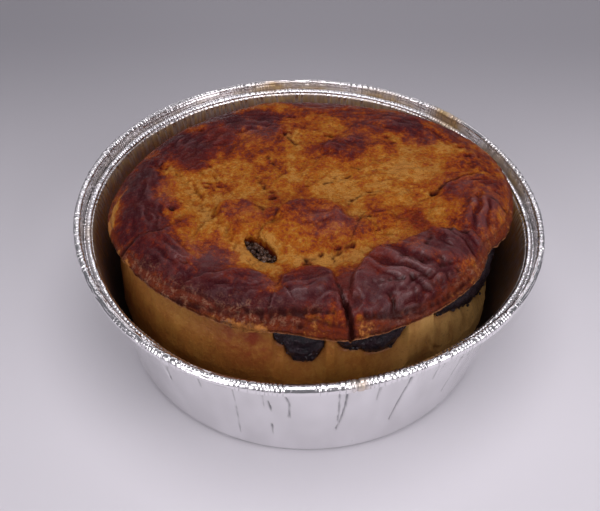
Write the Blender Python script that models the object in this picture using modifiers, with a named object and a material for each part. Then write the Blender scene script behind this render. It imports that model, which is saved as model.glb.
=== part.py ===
"""A round steak and haggis pie standing in its own foil tin.

Metres, +Z up. The tin stands on z = 0 with its axis on the origin, and -Y is the side that shows
the gap where the filling has pushed out under the lid. The pie is a tall pastry case, a dark
filling that runs through it, and a browned lid that overhangs the case and sits a little askew.
"""

import math

import bmesh
import bpy
from mathutils import Matrix, Vector, noise

MM = 0.001
GAP = 0.3 * MM  # kept between neighbouring pieces

# Foil tin
FOIL = 0.35 * MM
RIM_RADIUS = 61.4 * MM  # middle of the rolled edge
RIM_HEIGHT = 39.1 * MM
ROLL_RADIUS = 0.8 * MM  # inside the rolled edge
BEAD_RADIUS = 57.7 * MM  # the second, smaller ridge inside the rolled edge
BEAD_HEIGHT = 37.35 * MM
WALL_FOOT_RADIUS = 51.1 * MM
WALL_FOOT_HEIGHT = 2.0 * MM
REST_OUTER = 49.3 * MM  # the flat ring that the tin stands on
REST_INNER = 40.0 * MM
PANEL_RISE = 0.6 * MM  # of the base inside that ring
GROOVE = (60.2 * MM, 37.7 * MM)  # radius and height of the foil between the two ridges
TIN_STEPS = 64
# The hand-bent rim: number of waves round it, share of cosine and of sine, outwards and upwards.
RIM_OUT = ((2, 0.64 * MM, -0.52 * MM), (3, 0.40 * MM, 0.22 * MM))
RIM_UP = ((3, -0.65 * MM, 0.0), (2, 0.0, -0.20 * MM))

# Pastry case
CASE_AXIS = (-0.2 * MM, 1.6 * MM)
CASE_FLOOR = 1.3 * MM
CASE_FOOT_RADIUS = 46.8 * MM
CASE_BELLY_RADIUS = 51.5 * MM
CASE_BACK_INSET = 1.5 * MM  # how much flatter the belly is at the back
CASE_TOP_RADIUS = 49.2 * MM
CASE_WALL = 4.6 * MM
CASE_UPRIGHT = 18.0 * MM  # the inside of the wall is upright above this height
CASE_WAVES = ((2, 0.28 * MM, 0.41 * MM), (5, 0.0, 0.30 * MM))  # as RIM_OUT
SEAM = 0.6 * MM  # between the case's edge and the lid where they are sealed
CASE_STEPS = 96

# Lid
LID_AXIS = (1.45 * MM, 0.6 * MM)
LID_RADIUS = 52.5 * MM
LID_EDGE_HEIGHT = 42.1 * MM  # middle of the lid's edge, above the tin's axis
LID_SLOPE = (0.03, -0.08)  # rise of the edge for each unit of x and of y
LID_EDGE_THICK = 3.2 * MM
LID_THICK = 4.5 * MM
SHOULDER_RISE = 4.9 * MM  # from the edge up to the level inside the rounded shoulder
CROWN_RISE = 1.3 * MM  # from there to the middle
LID_STEPS = 80
LID_RINGS = 17

# Bulges and hollows of the lid: angle from +X and distance from the lid's axis, half the length
# along the edge, half the width across it, and the height. Lengths in millimetres.
SWELLINGS = (
    (-54, 43.5, 17.0, 8.5, 2.6),
    (-92, 43.5, 7.5, 7.5, 2.5),
    (-115, 45.0, 9.5, 5.5, 2.2),
    (-143, 46.5, 10.0, 7.0, 1.9),
    (-172, 45.5, 14.0, 6.5, 1.5),
    (145, 41.0, 14.0, 8.0, 1.5),
    (108, 45.0, 9.0, 6.0, 0.8),
    (50, 43.0, 12.0, 6.5, 1.3),
    (20, 43.0, 9.0, 6.0, 1.0),
    (-13, 45.0, 11.0, 8.0, 2.0),
    (-143, 24.4, 7.5, 6.0, 1.2),
    (-98, 16.0, 9.5, 7.0, 1.6),
    (59, 16.7, 9.0, 4.5, 1.2),
    (-82, 31.0, 11.0, 3.5, -1.2),
    (-120, 34.5, 12.0, 4.0, -1.0),
    (-160, 33.0, 9.0, 5.0, -1.0),
    (-20, 29.0, 9.0, 6.0, -0.8),
)
RIPPLE_HEIGHT = 0.45 * MM  # the finer unevenness over all of the lid
RIPPLE_SIZE = 7.0 * MM

# Waves of the lid's edge off its circle, as RIM_OUT.
EDGE_WAVES = ((2, 1.1 * MM, 0.3 * MM), (3, -0.1 * MM, 0.8 * MM), (4, 0.1 * MM, 0.7 * MM))
# Single nicks and lobes of that edge: angle, half width in degrees, depth.
EDGE_NICKS = ((-97, 7, -1.2 * MM), (-81, 6, 0.8 * MM), (-26, 7, -2.0 * MM), (69, 9, -0.7 * MM))

# Fork holes in the lid: angle, distance from the lid's axis in millimetres, radius in millimetres.
FORK_HOLES = (
    (81, 26.9, 1.3),
    (104, 29.8, 0.8),
    (137, 43.0, 0.8),
    (51, 28.6, 1.0),
    (22, 44.4, 0.9),
    (-7, 31.4, 1.0),
    (-3, 47.5, 0.8),
    (-179, 28.8, 0.9),
    (-177, 25.3, 0.8),
    (-165, 37.6, 1.0),
    (-157, 31.3, 0.8),
    (-148, 13.3, 0.9),
    (-20, 15.0, 0.8),
    (118, 7.9, 0.8),
    (-36, 30.7, 1.1),
)
FORK_DEPTH = 2.0 * MM
VENT_ANGLE = -115
VENT_DISTANCE = 31.6 * MM
VENT_LENGTH = 9.6 * MM
VENT_WIDTH = 3.4 * MM
VENT_TURN = -49  # degrees from +X to the slit's long axis
CRACK_ANGLE = -79.5
CRACK_START = 42.5 * MM
CRACK_WIDTH = 1.0 * MM

# Places where the case has given way and the filling has pushed out under the lid: angle and
# half width in degrees, height of the case's edge there, and how far the filling stands proud.
LEAKS = (
    (-96, 5.0, 36.2 * MM, 0.5 * MM),
    (-89, 5.5, 31.8 * MM, 0.8 * MM),
    (-78, 7.5, 36.4 * MM, 0.4 * MM),
    (-68, 8.0, 31.6 * MM, 0.7 * MM),
    (-56, 8.0, 36.2 * MM, 0.5 * MM),
    (-45, 8.0, 34.6 * MM, 0.9 * MM),
    (-36, 8.0, 32.0 * MM, 1.4 * MM),
    (-29, 9.0, 29.4 * MM, 1.8 * MM),
    (-20, 10.0, 26.4 * MM, 2.0 * MM),
    (-7, 12.0, 22.4 * MM, 2.2 * MM),
)
FILLING_RINGS = 6
LUMP_SIZE = 3.2 * MM
LUMP_DEGREES = 4.0
LUMP_RISE = 0.5 * MM

COLOURS = {
    "foil_tin": ((0.78, 0.78, 0.80), 0.32, 1.0),
    "pastry_case": ((0.40, 0.22, 0.07), 0.55, 0.0),
    "filling": ((0.022, 0.014, 0.012), 0.30, 0.0),
    "pastry_lid": ((0.36, 0.12, 0.03), 0.38, 0.0),
}


def clear_scene():
    for obj in list(bpy.data.objects):
        bpy.data.objects.remove(obj, do_unlink=True)


def new_collection(name):
    collection = bpy.data.collections.new(name)
    bpy.context.scene.collection.children.link(collection)
    return collection


def give_material(obj):
    colour, roughness, metallic = COLOURS[obj.name]
    material = bpy.data.materials.new(obj.name)
    material.use_nodes = True
    shader = material.node_tree.nodes["Principled BSDF"]
    shader.inputs["Base Color"].default_value = (*colour, 1.0)
    shader.inputs["Roughness"].default_value = roughness
    shader.inputs["Metallic"].default_value = metallic
    obj.data.materials.clear()
    obj.data.materials.append(material)


def turned(name, outline, steps, collection):
    """An outline of (radius, height) points swept round Z, running down its outer side."""
    mesh = bpy.data.meshes.new(name)
    points = [(radius, 0.0, height) for radius, height in outline]
    mesh.from_pydata(points, [(i, i + 1) for i in range(len(points) - 1)], [])
    obj = bpy.data.objects.new(name, mesh)
    collection.objects.link(obj)
    screw = obj.modifiers.new("turn", "SCREW")
    screw.steps = steps
    screw.render_steps = steps
    screw.use_merge_vertices = True
    screw.merge_threshold = 0.01 * MM
    return obj


def applied(obj):
    """Replaces the object's mesh by the one its modifiers make."""
    graph = bpy.context.evaluated_depsgraph_get()
    mesh = bpy.data.meshes.new_from_object(obj.evaluated_get(graph))
    obj.modifiers.clear()
    obj.data = mesh
    return obj


def reshape(obj, rule):
    """Moves each point of the mesh to rule(x, y, z)."""
    for vertex in obj.data.vertices:
        vertex.co = rule(*vertex.co)
    obj.data.update()


def lofted(name, axis, section, steps, collection):
    """A closed round body whose section, a list of (radius, height), changes as it goes round. The
    section starts and ends on the axis and runs down the outer side."""
    shape = bmesh.new()
    columns = []
    for step in range(steps):
        degrees = 360.0 * step / steps - 180.0
        points = [(*polar(axis, degrees, radius), height) for radius, height in section(degrees)]
        columns.append([shape.verts.new(point) for point in points])
    for near, far in zip(columns, columns[1:] + columns[:1]):
        for row in range(len(near) - 1):
            shape.faces.new((near[row], near[row + 1], far[row + 1], far[row]))
    bmesh.ops.remove_doubles(shape, verts=shape.verts, dist=0.01 * MM)
    bmesh.ops.recalc_face_normals(shape, faces=shape.faces)
    mesh = bpy.data.meshes.new(name)
    shape.to_mesh(mesh)
    shape.free()
    obj = bpy.data.objects.new(name, mesh)
    collection.objects.link(obj)
    return obj


def shade(obj, sharp_degrees):
    obj.data.shade_smooth()
    obj.data.set_sharp_from_angle(angle=math.radians(sharp_degrees))


def cut_with(obj, cutters):
    """Takes the cutters of a collection out of the object, and hides them."""
    modifier = obj.modifiers.new("cut", "BOOLEAN")
    modifier.operation = "DIFFERENCE"
    modifier.operand_type = "COLLECTION"
    modifier.collection = cutters
    modifier.solver = "EXACT"
    for cutter in cutters.objects:
        cutter.hide_render = True
        cutter.display_type = "WIRE"


def add_cutter(name, matrix, cutters, primitive, **sizes):
    """A closed solid from one bmesh primitive, whose points take on the matrix."""
    shape = bmesh.new()
    primitive(shape, **sizes)
    bmesh.ops.transform(shape, matrix=matrix, verts=shape.verts)
    bmesh.ops.recalc_face_normals(shape, faces=shape.faces)
    mesh = bpy.data.meshes.new(name)
    shape.to_mesh(mesh)
    shape.free()
    cutters.objects.link(bpy.data.objects.new(name, mesh))


def polar(axis, degrees, distance):
    angle = math.radians(degrees)
    return axis[0] + distance * math.cos(angle), axis[1] + distance * math.sin(angle)


def degrees_between(a, b):
    return (a - b + 180.0) % 360.0 - 180.0


def ramp(value, low, high):
    """0 below low, 1 above high, and a smooth rise between them."""
    share = min(max((value - low) / (high - low), 0.0), 1.0)
    return share * share * (3.0 - 2.0 * share)


def waves(terms, degrees):
    angle = math.radians(degrees)
    return sum(a * math.cos(count * angle) + b * math.sin(count * angle) for count, a, b in terms)


def lid_polar(x, y):
    east, north = x - LID_AXIS[0], y - LID_AXIS[1]
    return math.degrees(math.atan2(north, east)), math.hypot(east, north)


def lid_edge_radius(degrees):
    radius = LID_RADIUS + waves(EDGE_WAVES, degrees)
    for centre, half_width, depth in EDGE_NICKS:
        radius += depth * math.exp(-((degrees_between(degrees, centre) / half_width) ** 2))
    return radius


def lid_plane(x, y):
    return LID_EDGE_HEIGHT + LID_SLOPE[0] * x + LID_SLOPE[1] * y


def dome(share):
    """Rise above the edge at this share of the lid's radius."""
    share = min(share, 1.0)
    return SHOULDER_RISE * (1.0 - share**10) + CROWN_RISE * (1.0 - share**2)


def swelling(degrees, distance):
    rise = 0.0
    for centre, radius, half_length, half_width, height in SWELLINGS:
        along = math.radians(degrees_between(degrees, centre)) * radius / half_length
        across = (distance / MM - radius) / half_width
        rise += height * MM * math.exp(-((along**2 + across**2) ** 1.4))
    return rise


def lid_top(x, y):
    degrees, distance = lid_polar(x, y)
    share = distance / lid_edge_radius(degrees)
    ripple = RIPPLE_HEIGHT * noise.noise((x / RIPPLE_SIZE, y / RIPPLE_SIZE, 0.0))
    fade = 1.0 - ramp(share, 0.9, 1.0)
    return lid_plane(x, y) + dome(share) + fade * (swelling(degrees, distance) + ripple)


def lid_underside(x, y):
    degrees, distance = lid_polar(x, y)
    share = distance / lid_edge_radius(degrees)
    hollow = SHOULDER_RISE + CROWN_RISE - LID_THICK + 0.5 * LID_EDGE_THICK
    return lid_plane(x, y) - 0.5 * LID_EDGE_THICK + hollow * (1.0 - ramp(share, 0.2, 0.84))


def tin_outline():
    """The underside of the foil, from the inner end of the rolled edge down to the base."""
    points = []
    for degrees in range(-110, 191, 50):
        points.append(polar((RIM_RADIUS, RIM_HEIGHT), degrees, ROLL_RADIUS))
    points.append(GROOVE)
    points.append((GROOVE[0] - 0.9 * MM, GROOVE[1] - 0.25 * MM))
    for degrees in (20, 90, 160):
        points.append(polar((BEAD_RADIUS, BEAD_HEIGHT), degrees, ROLL_RADIUS))
    for share in (0.5, 1.0):
        radius = BEAD_RADIUS - ROLL_RADIUS + share * (WALL_FOOT_RADIUS - BEAD_RADIUS + ROLL_RADIUS)
        points.append((radius, BEAD_HEIGHT + share * (WALL_FOOT_HEIGHT - BEAD_HEIGHT)))
    points.append((WALL_FOOT_RADIUS - 0.6 * MM, 0.6 * MM))
    points.append((REST_OUTER, 0.0))
    points.append((REST_INNER, 0.0))
    points.append((REST_INNER - 1.5 * MM, PANEL_RISE))
    points.append((0.0, PANEL_RISE))
    return points


def press_rim(x, y, z):
    """Bends the tin out of round and out of level at the rim, fading out down the wall."""
    share = ramp(z, WALL_FOOT_HEIGHT, RIM_HEIGHT)
    degrees = math.degrees(math.atan2(y, x))
    grow = 1.0 + share * waves(RIM_OUT, degrees) / RIM_RADIUS
    return Vector((x * grow, y * grow, z + share * waves(RIM_UP, degrees)))


def make_tin(parts):
    tin = applied(turned("foil_tin", tin_outline(), TIN_STEPS, parts))
    reshape(tin, press_rim)
    sheet = tin.modifiers.new("foil", "SOLIDIFY")
    sheet.thickness = FOIL
    sheet.offset = -1.0
    sheet.use_even_offset = True
    shade(tin, 40)


def closed_height(degrees):
    """The lid's underside over the case's edge."""
    return lid_underside(*polar(CASE_AXIS, degrees, CASE_TOP_RADIUS - 0.5 * CASE_WALL))


def case_edge(degrees):
    """Height of the case's top edge, which drops where the filling has pushed out."""
    closed = closed_height(degrees) - SEAM
    edge = closed
    for centre, half_width, bottom, _ in LEAKS:
        share = abs(degrees_between(degrees, centre)) / half_width
        if share < 1.0:
            edge = min(edge, closed + (bottom - closed) * math.sqrt(1.0 - share**3))
    return edge


def leak_proud(degrees):
    """How far the filling stands out of the case."""
    proud = 0.0
    for centre, half_width, _, height in LEAKS:
        share = degrees_between(degrees, centre) / half_width
        proud = max(proud, height * math.exp(-(share**2)))
    return proud


def case_section(degrees):
    edge = case_edge(degrees)
    wave = waves(CASE_WAVES, degrees)
    inset = CASE_BACK_INSET * max(0.0, math.sin(math.radians(degrees))) ** 2
    belly = CASE_BELLY_RADIUS - inset
    closed = closed_height(degrees)
    inner_foot = CASE_FOOT_RADIUS - CASE_WALL
    inner_top = CASE_TOP_RADIUS - CASE_WALL + wave
    return (
        (0.0, CASE_FLOOR + CASE_WALL),
        (inner_foot, CASE_FLOOR + CASE_WALL),
        (inner_top, CASE_UPRIGHT),
        (inner_top, edge),
        (CASE_TOP_RADIUS + wave - 1.0 * MM, edge),
        (CASE_TOP_RADIUS + wave, edge - 1.2 * MM),
        (belly + wave - 1.0 * MM, 0.85 * edge),
        (belly + wave, min(0.65 * closed, 0.72 * edge)),
        (belly + 0.5 * wave, min(0.40 * closed, 0.55 * edge)),
        (CASE_FOOT_RADIUS + 2.2 * MM - 0.5 * inset, 7.5 * MM),
        (CASE_FOOT_RADIUS, CASE_FLOOR + 2.2 * MM),
        (CASE_FOOT_RADIUS - 2.6 * MM, CASE_FLOOR),
        (0.0, CASE_FLOOR),
    )


def filling_section(degrees):
    """Under the lid from the middle outwards, over the lip that fills a leak, and down the wall."""
    edge = case_edge(degrees)
    wave = waves(CASE_WAVES, degrees)
    top = closed_height(degrees) - GAP
    plug = CASE_TOP_RADIUS - CASE_WALL + wave - GAP
    leaking = ramp(top - edge, 1.5 * SEAM, 5.0 * SEAM)
    lip = edge + GAP * (0.5 + 0.5 * leaking)
    out = leaking * (CASE_TOP_RADIUS + wave + leak_proud(degrees) - plug)
    foot = CASE_FLOOR + CASE_WALL + GAP
    section = []
    for ring in range(FILLING_RINGS):
        radius = (plug - 1.5 * MM) * ring / (FILLING_RINGS - 1)
        section.append((radius, lid_underside(*polar(CASE_AXIS, degrees, radius)) - GAP))
    section.append((plug + 0.75 * out, top))
    for share, reach in ((0.35, 0.98), (0.7, 1.0), (1.0, 0.85)):
        height = top + share * (lip - top)
        lump = leaking * LUMP_RISE * noise.noise((degrees / LUMP_DEGREES, height / LUMP_SIZE, 0.5))
        section.append((plug + reach * out + lump, height))
    section.append((plug, lip - 0.1 * MM * (1.0 - leaking)))
    section.append((plug, CASE_UPRIGHT))
    section.append((CASE_FOOT_RADIUS - CASE_WALL - GAP, foot))
    section.append((0.0, foot))
    return section


def make_case(parts):
    shade(lofted("pastry_case", CASE_AXIS, case_section, CASE_STEPS, parts), 50)


def make_filling(parts):
    shade(lofted("filling", CASE_AXIS, filling_section, CASE_STEPS, parts), 60)


def lid_outline():
    """From the middle of the top outwards, round the edge and back under, with rings closer
    together towards the edge."""
    half = 0.5 * LID_EDGE_THICK
    top = [math.sin(0.5 * math.pi * ring / LID_RINGS) for ring in range(LID_RINGS)]
    edge = [(0.999, 0.5 * half), (1.0, -0.2 * half), (0.992, -0.8 * half)]
    outline = [(share, half) for share in top] + edge
    outline += [(share, -half) for share in (0.97, 0.84, 0.65, 0.45, 0.2, 0.0)]
    return [(share * LID_RADIUS, height) for share, height in outline]


def seat_lid(x, y, z):
    """Gives a point of the flat disc the lid's outline, dome and bulges."""
    degrees = math.degrees(math.atan2(y, x))
    grow = lid_edge_radius(degrees) / LID_RADIUS
    east, north = x * grow + LID_AXIS[0], y * grow + LID_AXIS[1]
    half = 0.5 * LID_EDGE_THICK
    if z > 0.99 * half:
        return Vector((east, north, lid_top(east, north)))
    if z < -0.99 * half:
        return Vector((east, north, lid_underside(east, north)))
    return Vector((east, north, lid_plane(east, north) + z))


def add_fork_holes(cutters):
    for index, (degrees, distance, radius) in enumerate(FORK_HOLES):
        x, y = polar(LID_AXIS, degrees, distance * MM)
        add_cutter(
            f"fork_hole_{index + 1}",
            Matrix.Translation((x, y, lid_top(x, y))),
            cutters,
            bmesh.ops.create_cone,
            cap_ends=True,
            segments=8,
            radius1=0.45 * radius * MM,
            radius2=1.15 * radius * MM,
            depth=2.0 * FORK_DEPTH,
        )


def add_vent(cutters):
    """The steam slit, cut right through to the filling."""
    x, y = polar(LID_AXIS, VENT_ANGLE, VENT_DISTANCE)
    turn = Matrix.Rotation(math.radians(VENT_TURN), 4, "Z")
    stretch = Matrix.Diagonal((VENT_LENGTH / VENT_WIDTH, 1.0, 1.0, 1.0))
    add_cutter(
        "vent",
        Matrix.Translation((x, y, lid_top(x, y) - 0.5 * LID_THICK)) @ turn @ stretch,
        cutters,
        bmesh.ops.create_cone,
        cap_ends=True,
        segments=20,
        radius1=0.4 * VENT_WIDTH,
        radius2=0.56 * VENT_WIDTH,
        depth=4.0 * LID_THICK,
    )


def add_crack(cutters):
    """A slot whose floor runs down from the top of the lid until it leaves through the edge."""
    start = polar(LID_AXIS, CRACK_ANGLE, CRACK_START)
    end = polar(LID_AXIS, CRACK_ANGLE, LID_RADIUS)
    drop = lid_top(*start) - lid_plane(*end) + LID_EDGE_THICK
    run = LID_RADIUS - CRACK_START
    middle = polar(LID_AXIS, CRACK_ANGLE, CRACK_START + 0.5 * run)
    floor = Matrix.Translation((*middle, lid_top(*start) - 0.5 * drop))
    turn = Matrix.Rotation(math.radians(CRACK_ANGLE), 4, "Z")
    tilt = Matrix.Rotation(math.atan2(drop, run), 4, "Y")
    size = Matrix.Diagonal((2.0 * math.hypot(drop, run), CRACK_WIDTH, 3.0 * drop, 1.0))
    add_cutter(
        "crack",
        floor @ turn @ tilt @ size @ Matrix.Translation((0.0, 0.0, 0.5)),
        cutters,
        bmesh.ops.create_cube,
        size=1.0,
    )


def make_lid(parts):
    lid = applied(turned("pastry_lid", lid_outline(), LID_STEPS, parts))
    reshape(lid, seat_lid)
    cutters = new_collection("lid_cutters")
    add_fork_holes(cutters)
    add_vent(cutters)
    add_crack(cutters)
    cut_with(lid, cutters)
    shade(lid, 50)


def main():
    clear_scene()
    parts = new_collection("steak_and_haggis_pie")
    make_tin(parts)
    make_case(parts)
    make_filling(parts)
    make_lid(parts)
    for obj in parts.objects:
        give_material(obj)


main()
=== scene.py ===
import math
import random

import bmesh
import bpy
import numpy as np
from mathutils import Matrix, Vector, noise


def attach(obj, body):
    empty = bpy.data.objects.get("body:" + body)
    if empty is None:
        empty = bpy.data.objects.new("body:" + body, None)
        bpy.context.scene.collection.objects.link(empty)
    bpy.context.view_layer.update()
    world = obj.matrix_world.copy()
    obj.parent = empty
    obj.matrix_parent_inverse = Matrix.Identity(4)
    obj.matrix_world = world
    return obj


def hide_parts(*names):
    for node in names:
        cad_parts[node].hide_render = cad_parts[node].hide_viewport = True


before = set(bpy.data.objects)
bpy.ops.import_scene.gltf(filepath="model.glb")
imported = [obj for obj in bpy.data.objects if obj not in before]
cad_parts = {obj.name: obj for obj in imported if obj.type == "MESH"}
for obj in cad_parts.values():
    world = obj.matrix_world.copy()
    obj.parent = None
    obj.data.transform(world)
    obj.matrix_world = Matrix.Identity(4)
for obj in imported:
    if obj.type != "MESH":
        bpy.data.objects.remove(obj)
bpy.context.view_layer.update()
mm = 0.001  # pieces are worked out in millimetres, and meshes are in metres
print("frame:", ", ".join(sorted(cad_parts)))


# Shader maths: one output socket that Python's operators work on.
class Wire:
    def __init__(self, socket):
        self.socket = socket
        self.tree = socket.id_data

    def node(self, kind, settings, values, output=0):
        made = self.tree.nodes.new(kind)
        for name, setting in settings.items():
            if name == "stops":
                setStops(made.color_ramp, setting)
            else:
                setattr(made, name, setting)
        for name, value in values.items():
            if isinstance(value, Wire):
                self.tree.links.new(value.socket, made.inputs[name])
            else:
                made.inputs[name].default_value = value
        return Wire(made.outputs[output])

    def maths(self, operation, *others):
        return self.node("ShaderNodeMath", {"operation": operation}, dict(enumerate((self, *others))))

    def __add__(self, other):
        return self.maths("ADD", other)

    __radd__ = __add__

    def __sub__(self, other):
        return self.maths("SUBTRACT", other)

    def __rsub__(self, other):
        return self.node("ShaderNodeMath", {"operation": "SUBTRACT"}, {0: other, 1: self})

    def __mul__(self, other):
        return self.maths("MULTIPLY", other)

    __rmul__ = __mul__

    def rise(self, low, high):  # 0 below low, 1 above high
        values = {"Value": self, "From Min": low, "From Max": high}
        return self.node("ShaderNodeMapRange", {"interpolation_type": "SMOOTHSTEP"}, values)

    def stretched(self, x, y, z):
        return self.node("ShaderNodeVectorMath", {"operation": "MULTIPLY"}, {0: self, 1: (x, y, z)})

    def cloud(self, size, detail=2, rough=0.55):  # soft noise from 0 to 1, its bumps this many millimetres
        values = {"Vector": self, "Scale": 1 / (size * mm), "Detail": detail, "Roughness": rough}
        return self.node("ShaderNodeTexNoise", {}, values)

    def cells(self, size, feature="F1"):  # distance to the nearest of scattered points
        values = {"Vector": self, "Scale": 1 / (size * mm)}
        return self.node("ShaderNodeTexVoronoi", {"feature": feature}, values)

    def mix(self, colourA, colourB, way="MIX"):  # this wire is the share of colourB
        settings = {"data_type": "RGBA", "blend_type": way}
        return self.node("ShaderNodeMix", settings, {0: self, 6: paint(colourA), 7: paint(colourB)}, 2)

    def colours(self, stops):
        return self.node("ShaderNodeValToRGB", {"stops": stops}, {"Fac": self})

    def mark(self, name):  # a value kept at the mesh's points
        return self.node("ShaderNodeAttribute", {"attribute_name": name}, {}, "Fac")

    def bump(self, height, depth, strength=1):
        values = {"Height": height, "Distance": depth * mm, "Strength": strength}
        return self.node("ShaderNodeBump", {}, values)

    def part(self, axis):  # one of the three coordinates, in metres
        return self.node("ShaderNodeSeparateXYZ", {}, {0: self}, axis)


def paint(colour):
    return colour if isinstance(colour, Wire) else (*colour, 1)


def layered(colour, layers):  # paints layers over a colour: the share and colour of each
    for share, *over in layers:
        colour = share.mix(colour, *over)
    return colour


def setStops(ramp, stops):
    while len(ramp.elements) < len(stops):
        ramp.elements.new(1)
    for element, (position, colour) in zip(ramp.elements, stops):
        element.position = position
        element.color = paint(colour)


def newFinish(name):
    material = bpy.data.materials.new(name)
    material.use_nodes = True
    place = material.node_tree.nodes.new("ShaderNodeTexCoord")
    return material, Wire(place.outputs["Object"])


def fillIn(material, values):
    shader = material.node_tree.nodes["Principled BSDF"]
    for name, value in values.items():
        if isinstance(value, Wire):
            material.node_tree.links.new(value.socket, shader.inputs[name])
        else:
            shader.inputs[name].default_value = value
    return material


# Shapes: arrays of points in millimetres, rows by columns, joined into meshes.
def unit(values):  # kept from 0 to 1
    return np.clip(values, 0, 1)


def smooth(value, low, high):  # 0 below low, 1 above high; the other way round where high is the lower
    share = unit((value - low) / (high - low))
    return share * share * (3 - 2 * share)


def hump(value, middle, half):  # 1 at the middle, falling off to both sides
    return np.exp(-(((value - middle) / half) ** 2))


def turnFrom(degrees, centre):  # from -180 to 180
    return (degrees - centre + 180) % 360 - 180


def nearTurn(degrees, centre, half):
    return hump(turnFrom(degrees, centre), 0, half)


def allRound(columns):  # where they stand, in degrees
    return np.arange(columns) * 360 / columns - 180


def waves(terms, degrees):  # terms: how many waves in a turn, cosine part, sine part
    angle = np.radians(degrees)
    return sum(a * np.cos(count * angle) + b * np.sin(count * angle) for count, a, b in terms)


def rough(size, x, y, z=0):  # soft noise from about -1 to 1
    x, y, z = np.broadcast_arrays(x, y, z)
    spots = np.column_stack([x.ravel(), y.ravel(), z.ravel()]) / size
    return np.array([noise.noise(spot) for spot in spots.tolist()]).reshape(x.shape)


def ringRough(fineness, degrees, z):  # the same round the axis, so that its ends meet
    ring = np.radians(degrees)
    return rough(1, fineness * np.cos(ring), fineness * np.sin(ring), z)


def blobs(spots, degrees, distance, sharpness=1.4):
    # spots: angle, radius, half length along the edge, half width across it, height
    total = 0
    for centre, radius, halfLength, halfWidth, height in spots:
        along = np.radians(turnFrom(degrees, centre)) * radius / halfLength
        across = (distance - radius) / halfWidth
        total = total + height * np.exp(-((along**2 + across**2) ** sharpness))
    return total


def polarPoint(axis, degrees, distance):  # x and y
    angle = np.radians(degrees)
    return axis[0] + distance * np.cos(angle), axis[1] + distance * np.sin(angle)


def fromLine(x, y, line):  # how far from a broken line, and at its right (above 0) or left
    nearest, side = 1e9, 0
    for (ax, ay), (bx, by) in zip(line, line[1:]):
        dx, dy = bx - ax, by - ay
        share = unit(((x - ax) * dx + (y - ay) * dy) / (dx * dx + dy * dy))
        offX, offY = x - ax - share * dx, y - ay - share * dy
        off = np.hypot(offX, offY)
        side = np.where(off < nearest, offX * dy - offY * dx, side)
        nearest = np.minimum(nearest, off)
    return nearest, np.sign(side)


def sheetFaces(rows, columns, wrap, first):  # first: the number of the sheet's first point
    row, column = np.mgrid[0 : rows - 1, 0 : columns if wrap else columns - 1]
    after = (column + 1) % columns
    corners = [row * columns + column, (row + 1) * columns + column]
    corners += [(row + 1) * columns + after, row * columns + after]
    return np.stack(corners, -1).reshape(-1, 4) + first


def addPiece(name, node, finish, sheets):
    # sheets: (points, whether the last column meets the first, {mark: values}); meeting points merge
    faces, first = [], 0
    for points, wrap, marks in sheets:
        faces.append(sheetFaces(*points.shape[:2], wrap, first))
        first += points.shape[0] * points.shape[1]
    points = np.concatenate([points.reshape(-1, 3) for points, wrap, marks in sheets])
    chosen, index = np.unique(np.round(points, 3), axis=0, return_index=True, return_inverse=True)[1:]
    quads = index.reshape(-1)[np.concatenate(faces)].tolist()
    corners = [list(dict.fromkeys(quad)) for quad in quads]
    mesh = bpy.data.meshes.new(name)
    mesh.from_pydata((points[chosen] * mm).tolist(), [], [c for c in corners if len(c) > 2])
    for mark in sheets[0][2]:
        values = np.concatenate([np.broadcast_to(s[2][mark], s[0].shape[:2]).ravel() for s in sheets])
        layer = mesh.attributes.new(mark, "FLOAT", "POINT")
        layer.data.foreach_set("value", values[chosen].astype(np.float32))
    return settle(name, mesh, node, finish)


def addObject(name, data):
    made = bpy.data.objects.new(name, data)
    bpy.context.scene.collection.objects.link(made)
    return made


def settle(name, mesh, node, finish):  # makes a piece of the mesh
    shape = bmesh.new()
    shape.from_mesh(mesh)
    bmesh.ops.recalc_face_normals(shape, faces=shape.faces)
    shape.to_mesh(mesh)
    shape.free()
    mesh.shade_smooth()
    mesh.materials.append(finish)
    piece = addObject(name, mesh)
    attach(piece, "root")
    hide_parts(node)
    print("made", name, len(mesh.polygons), "faces")
    return piece


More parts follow.
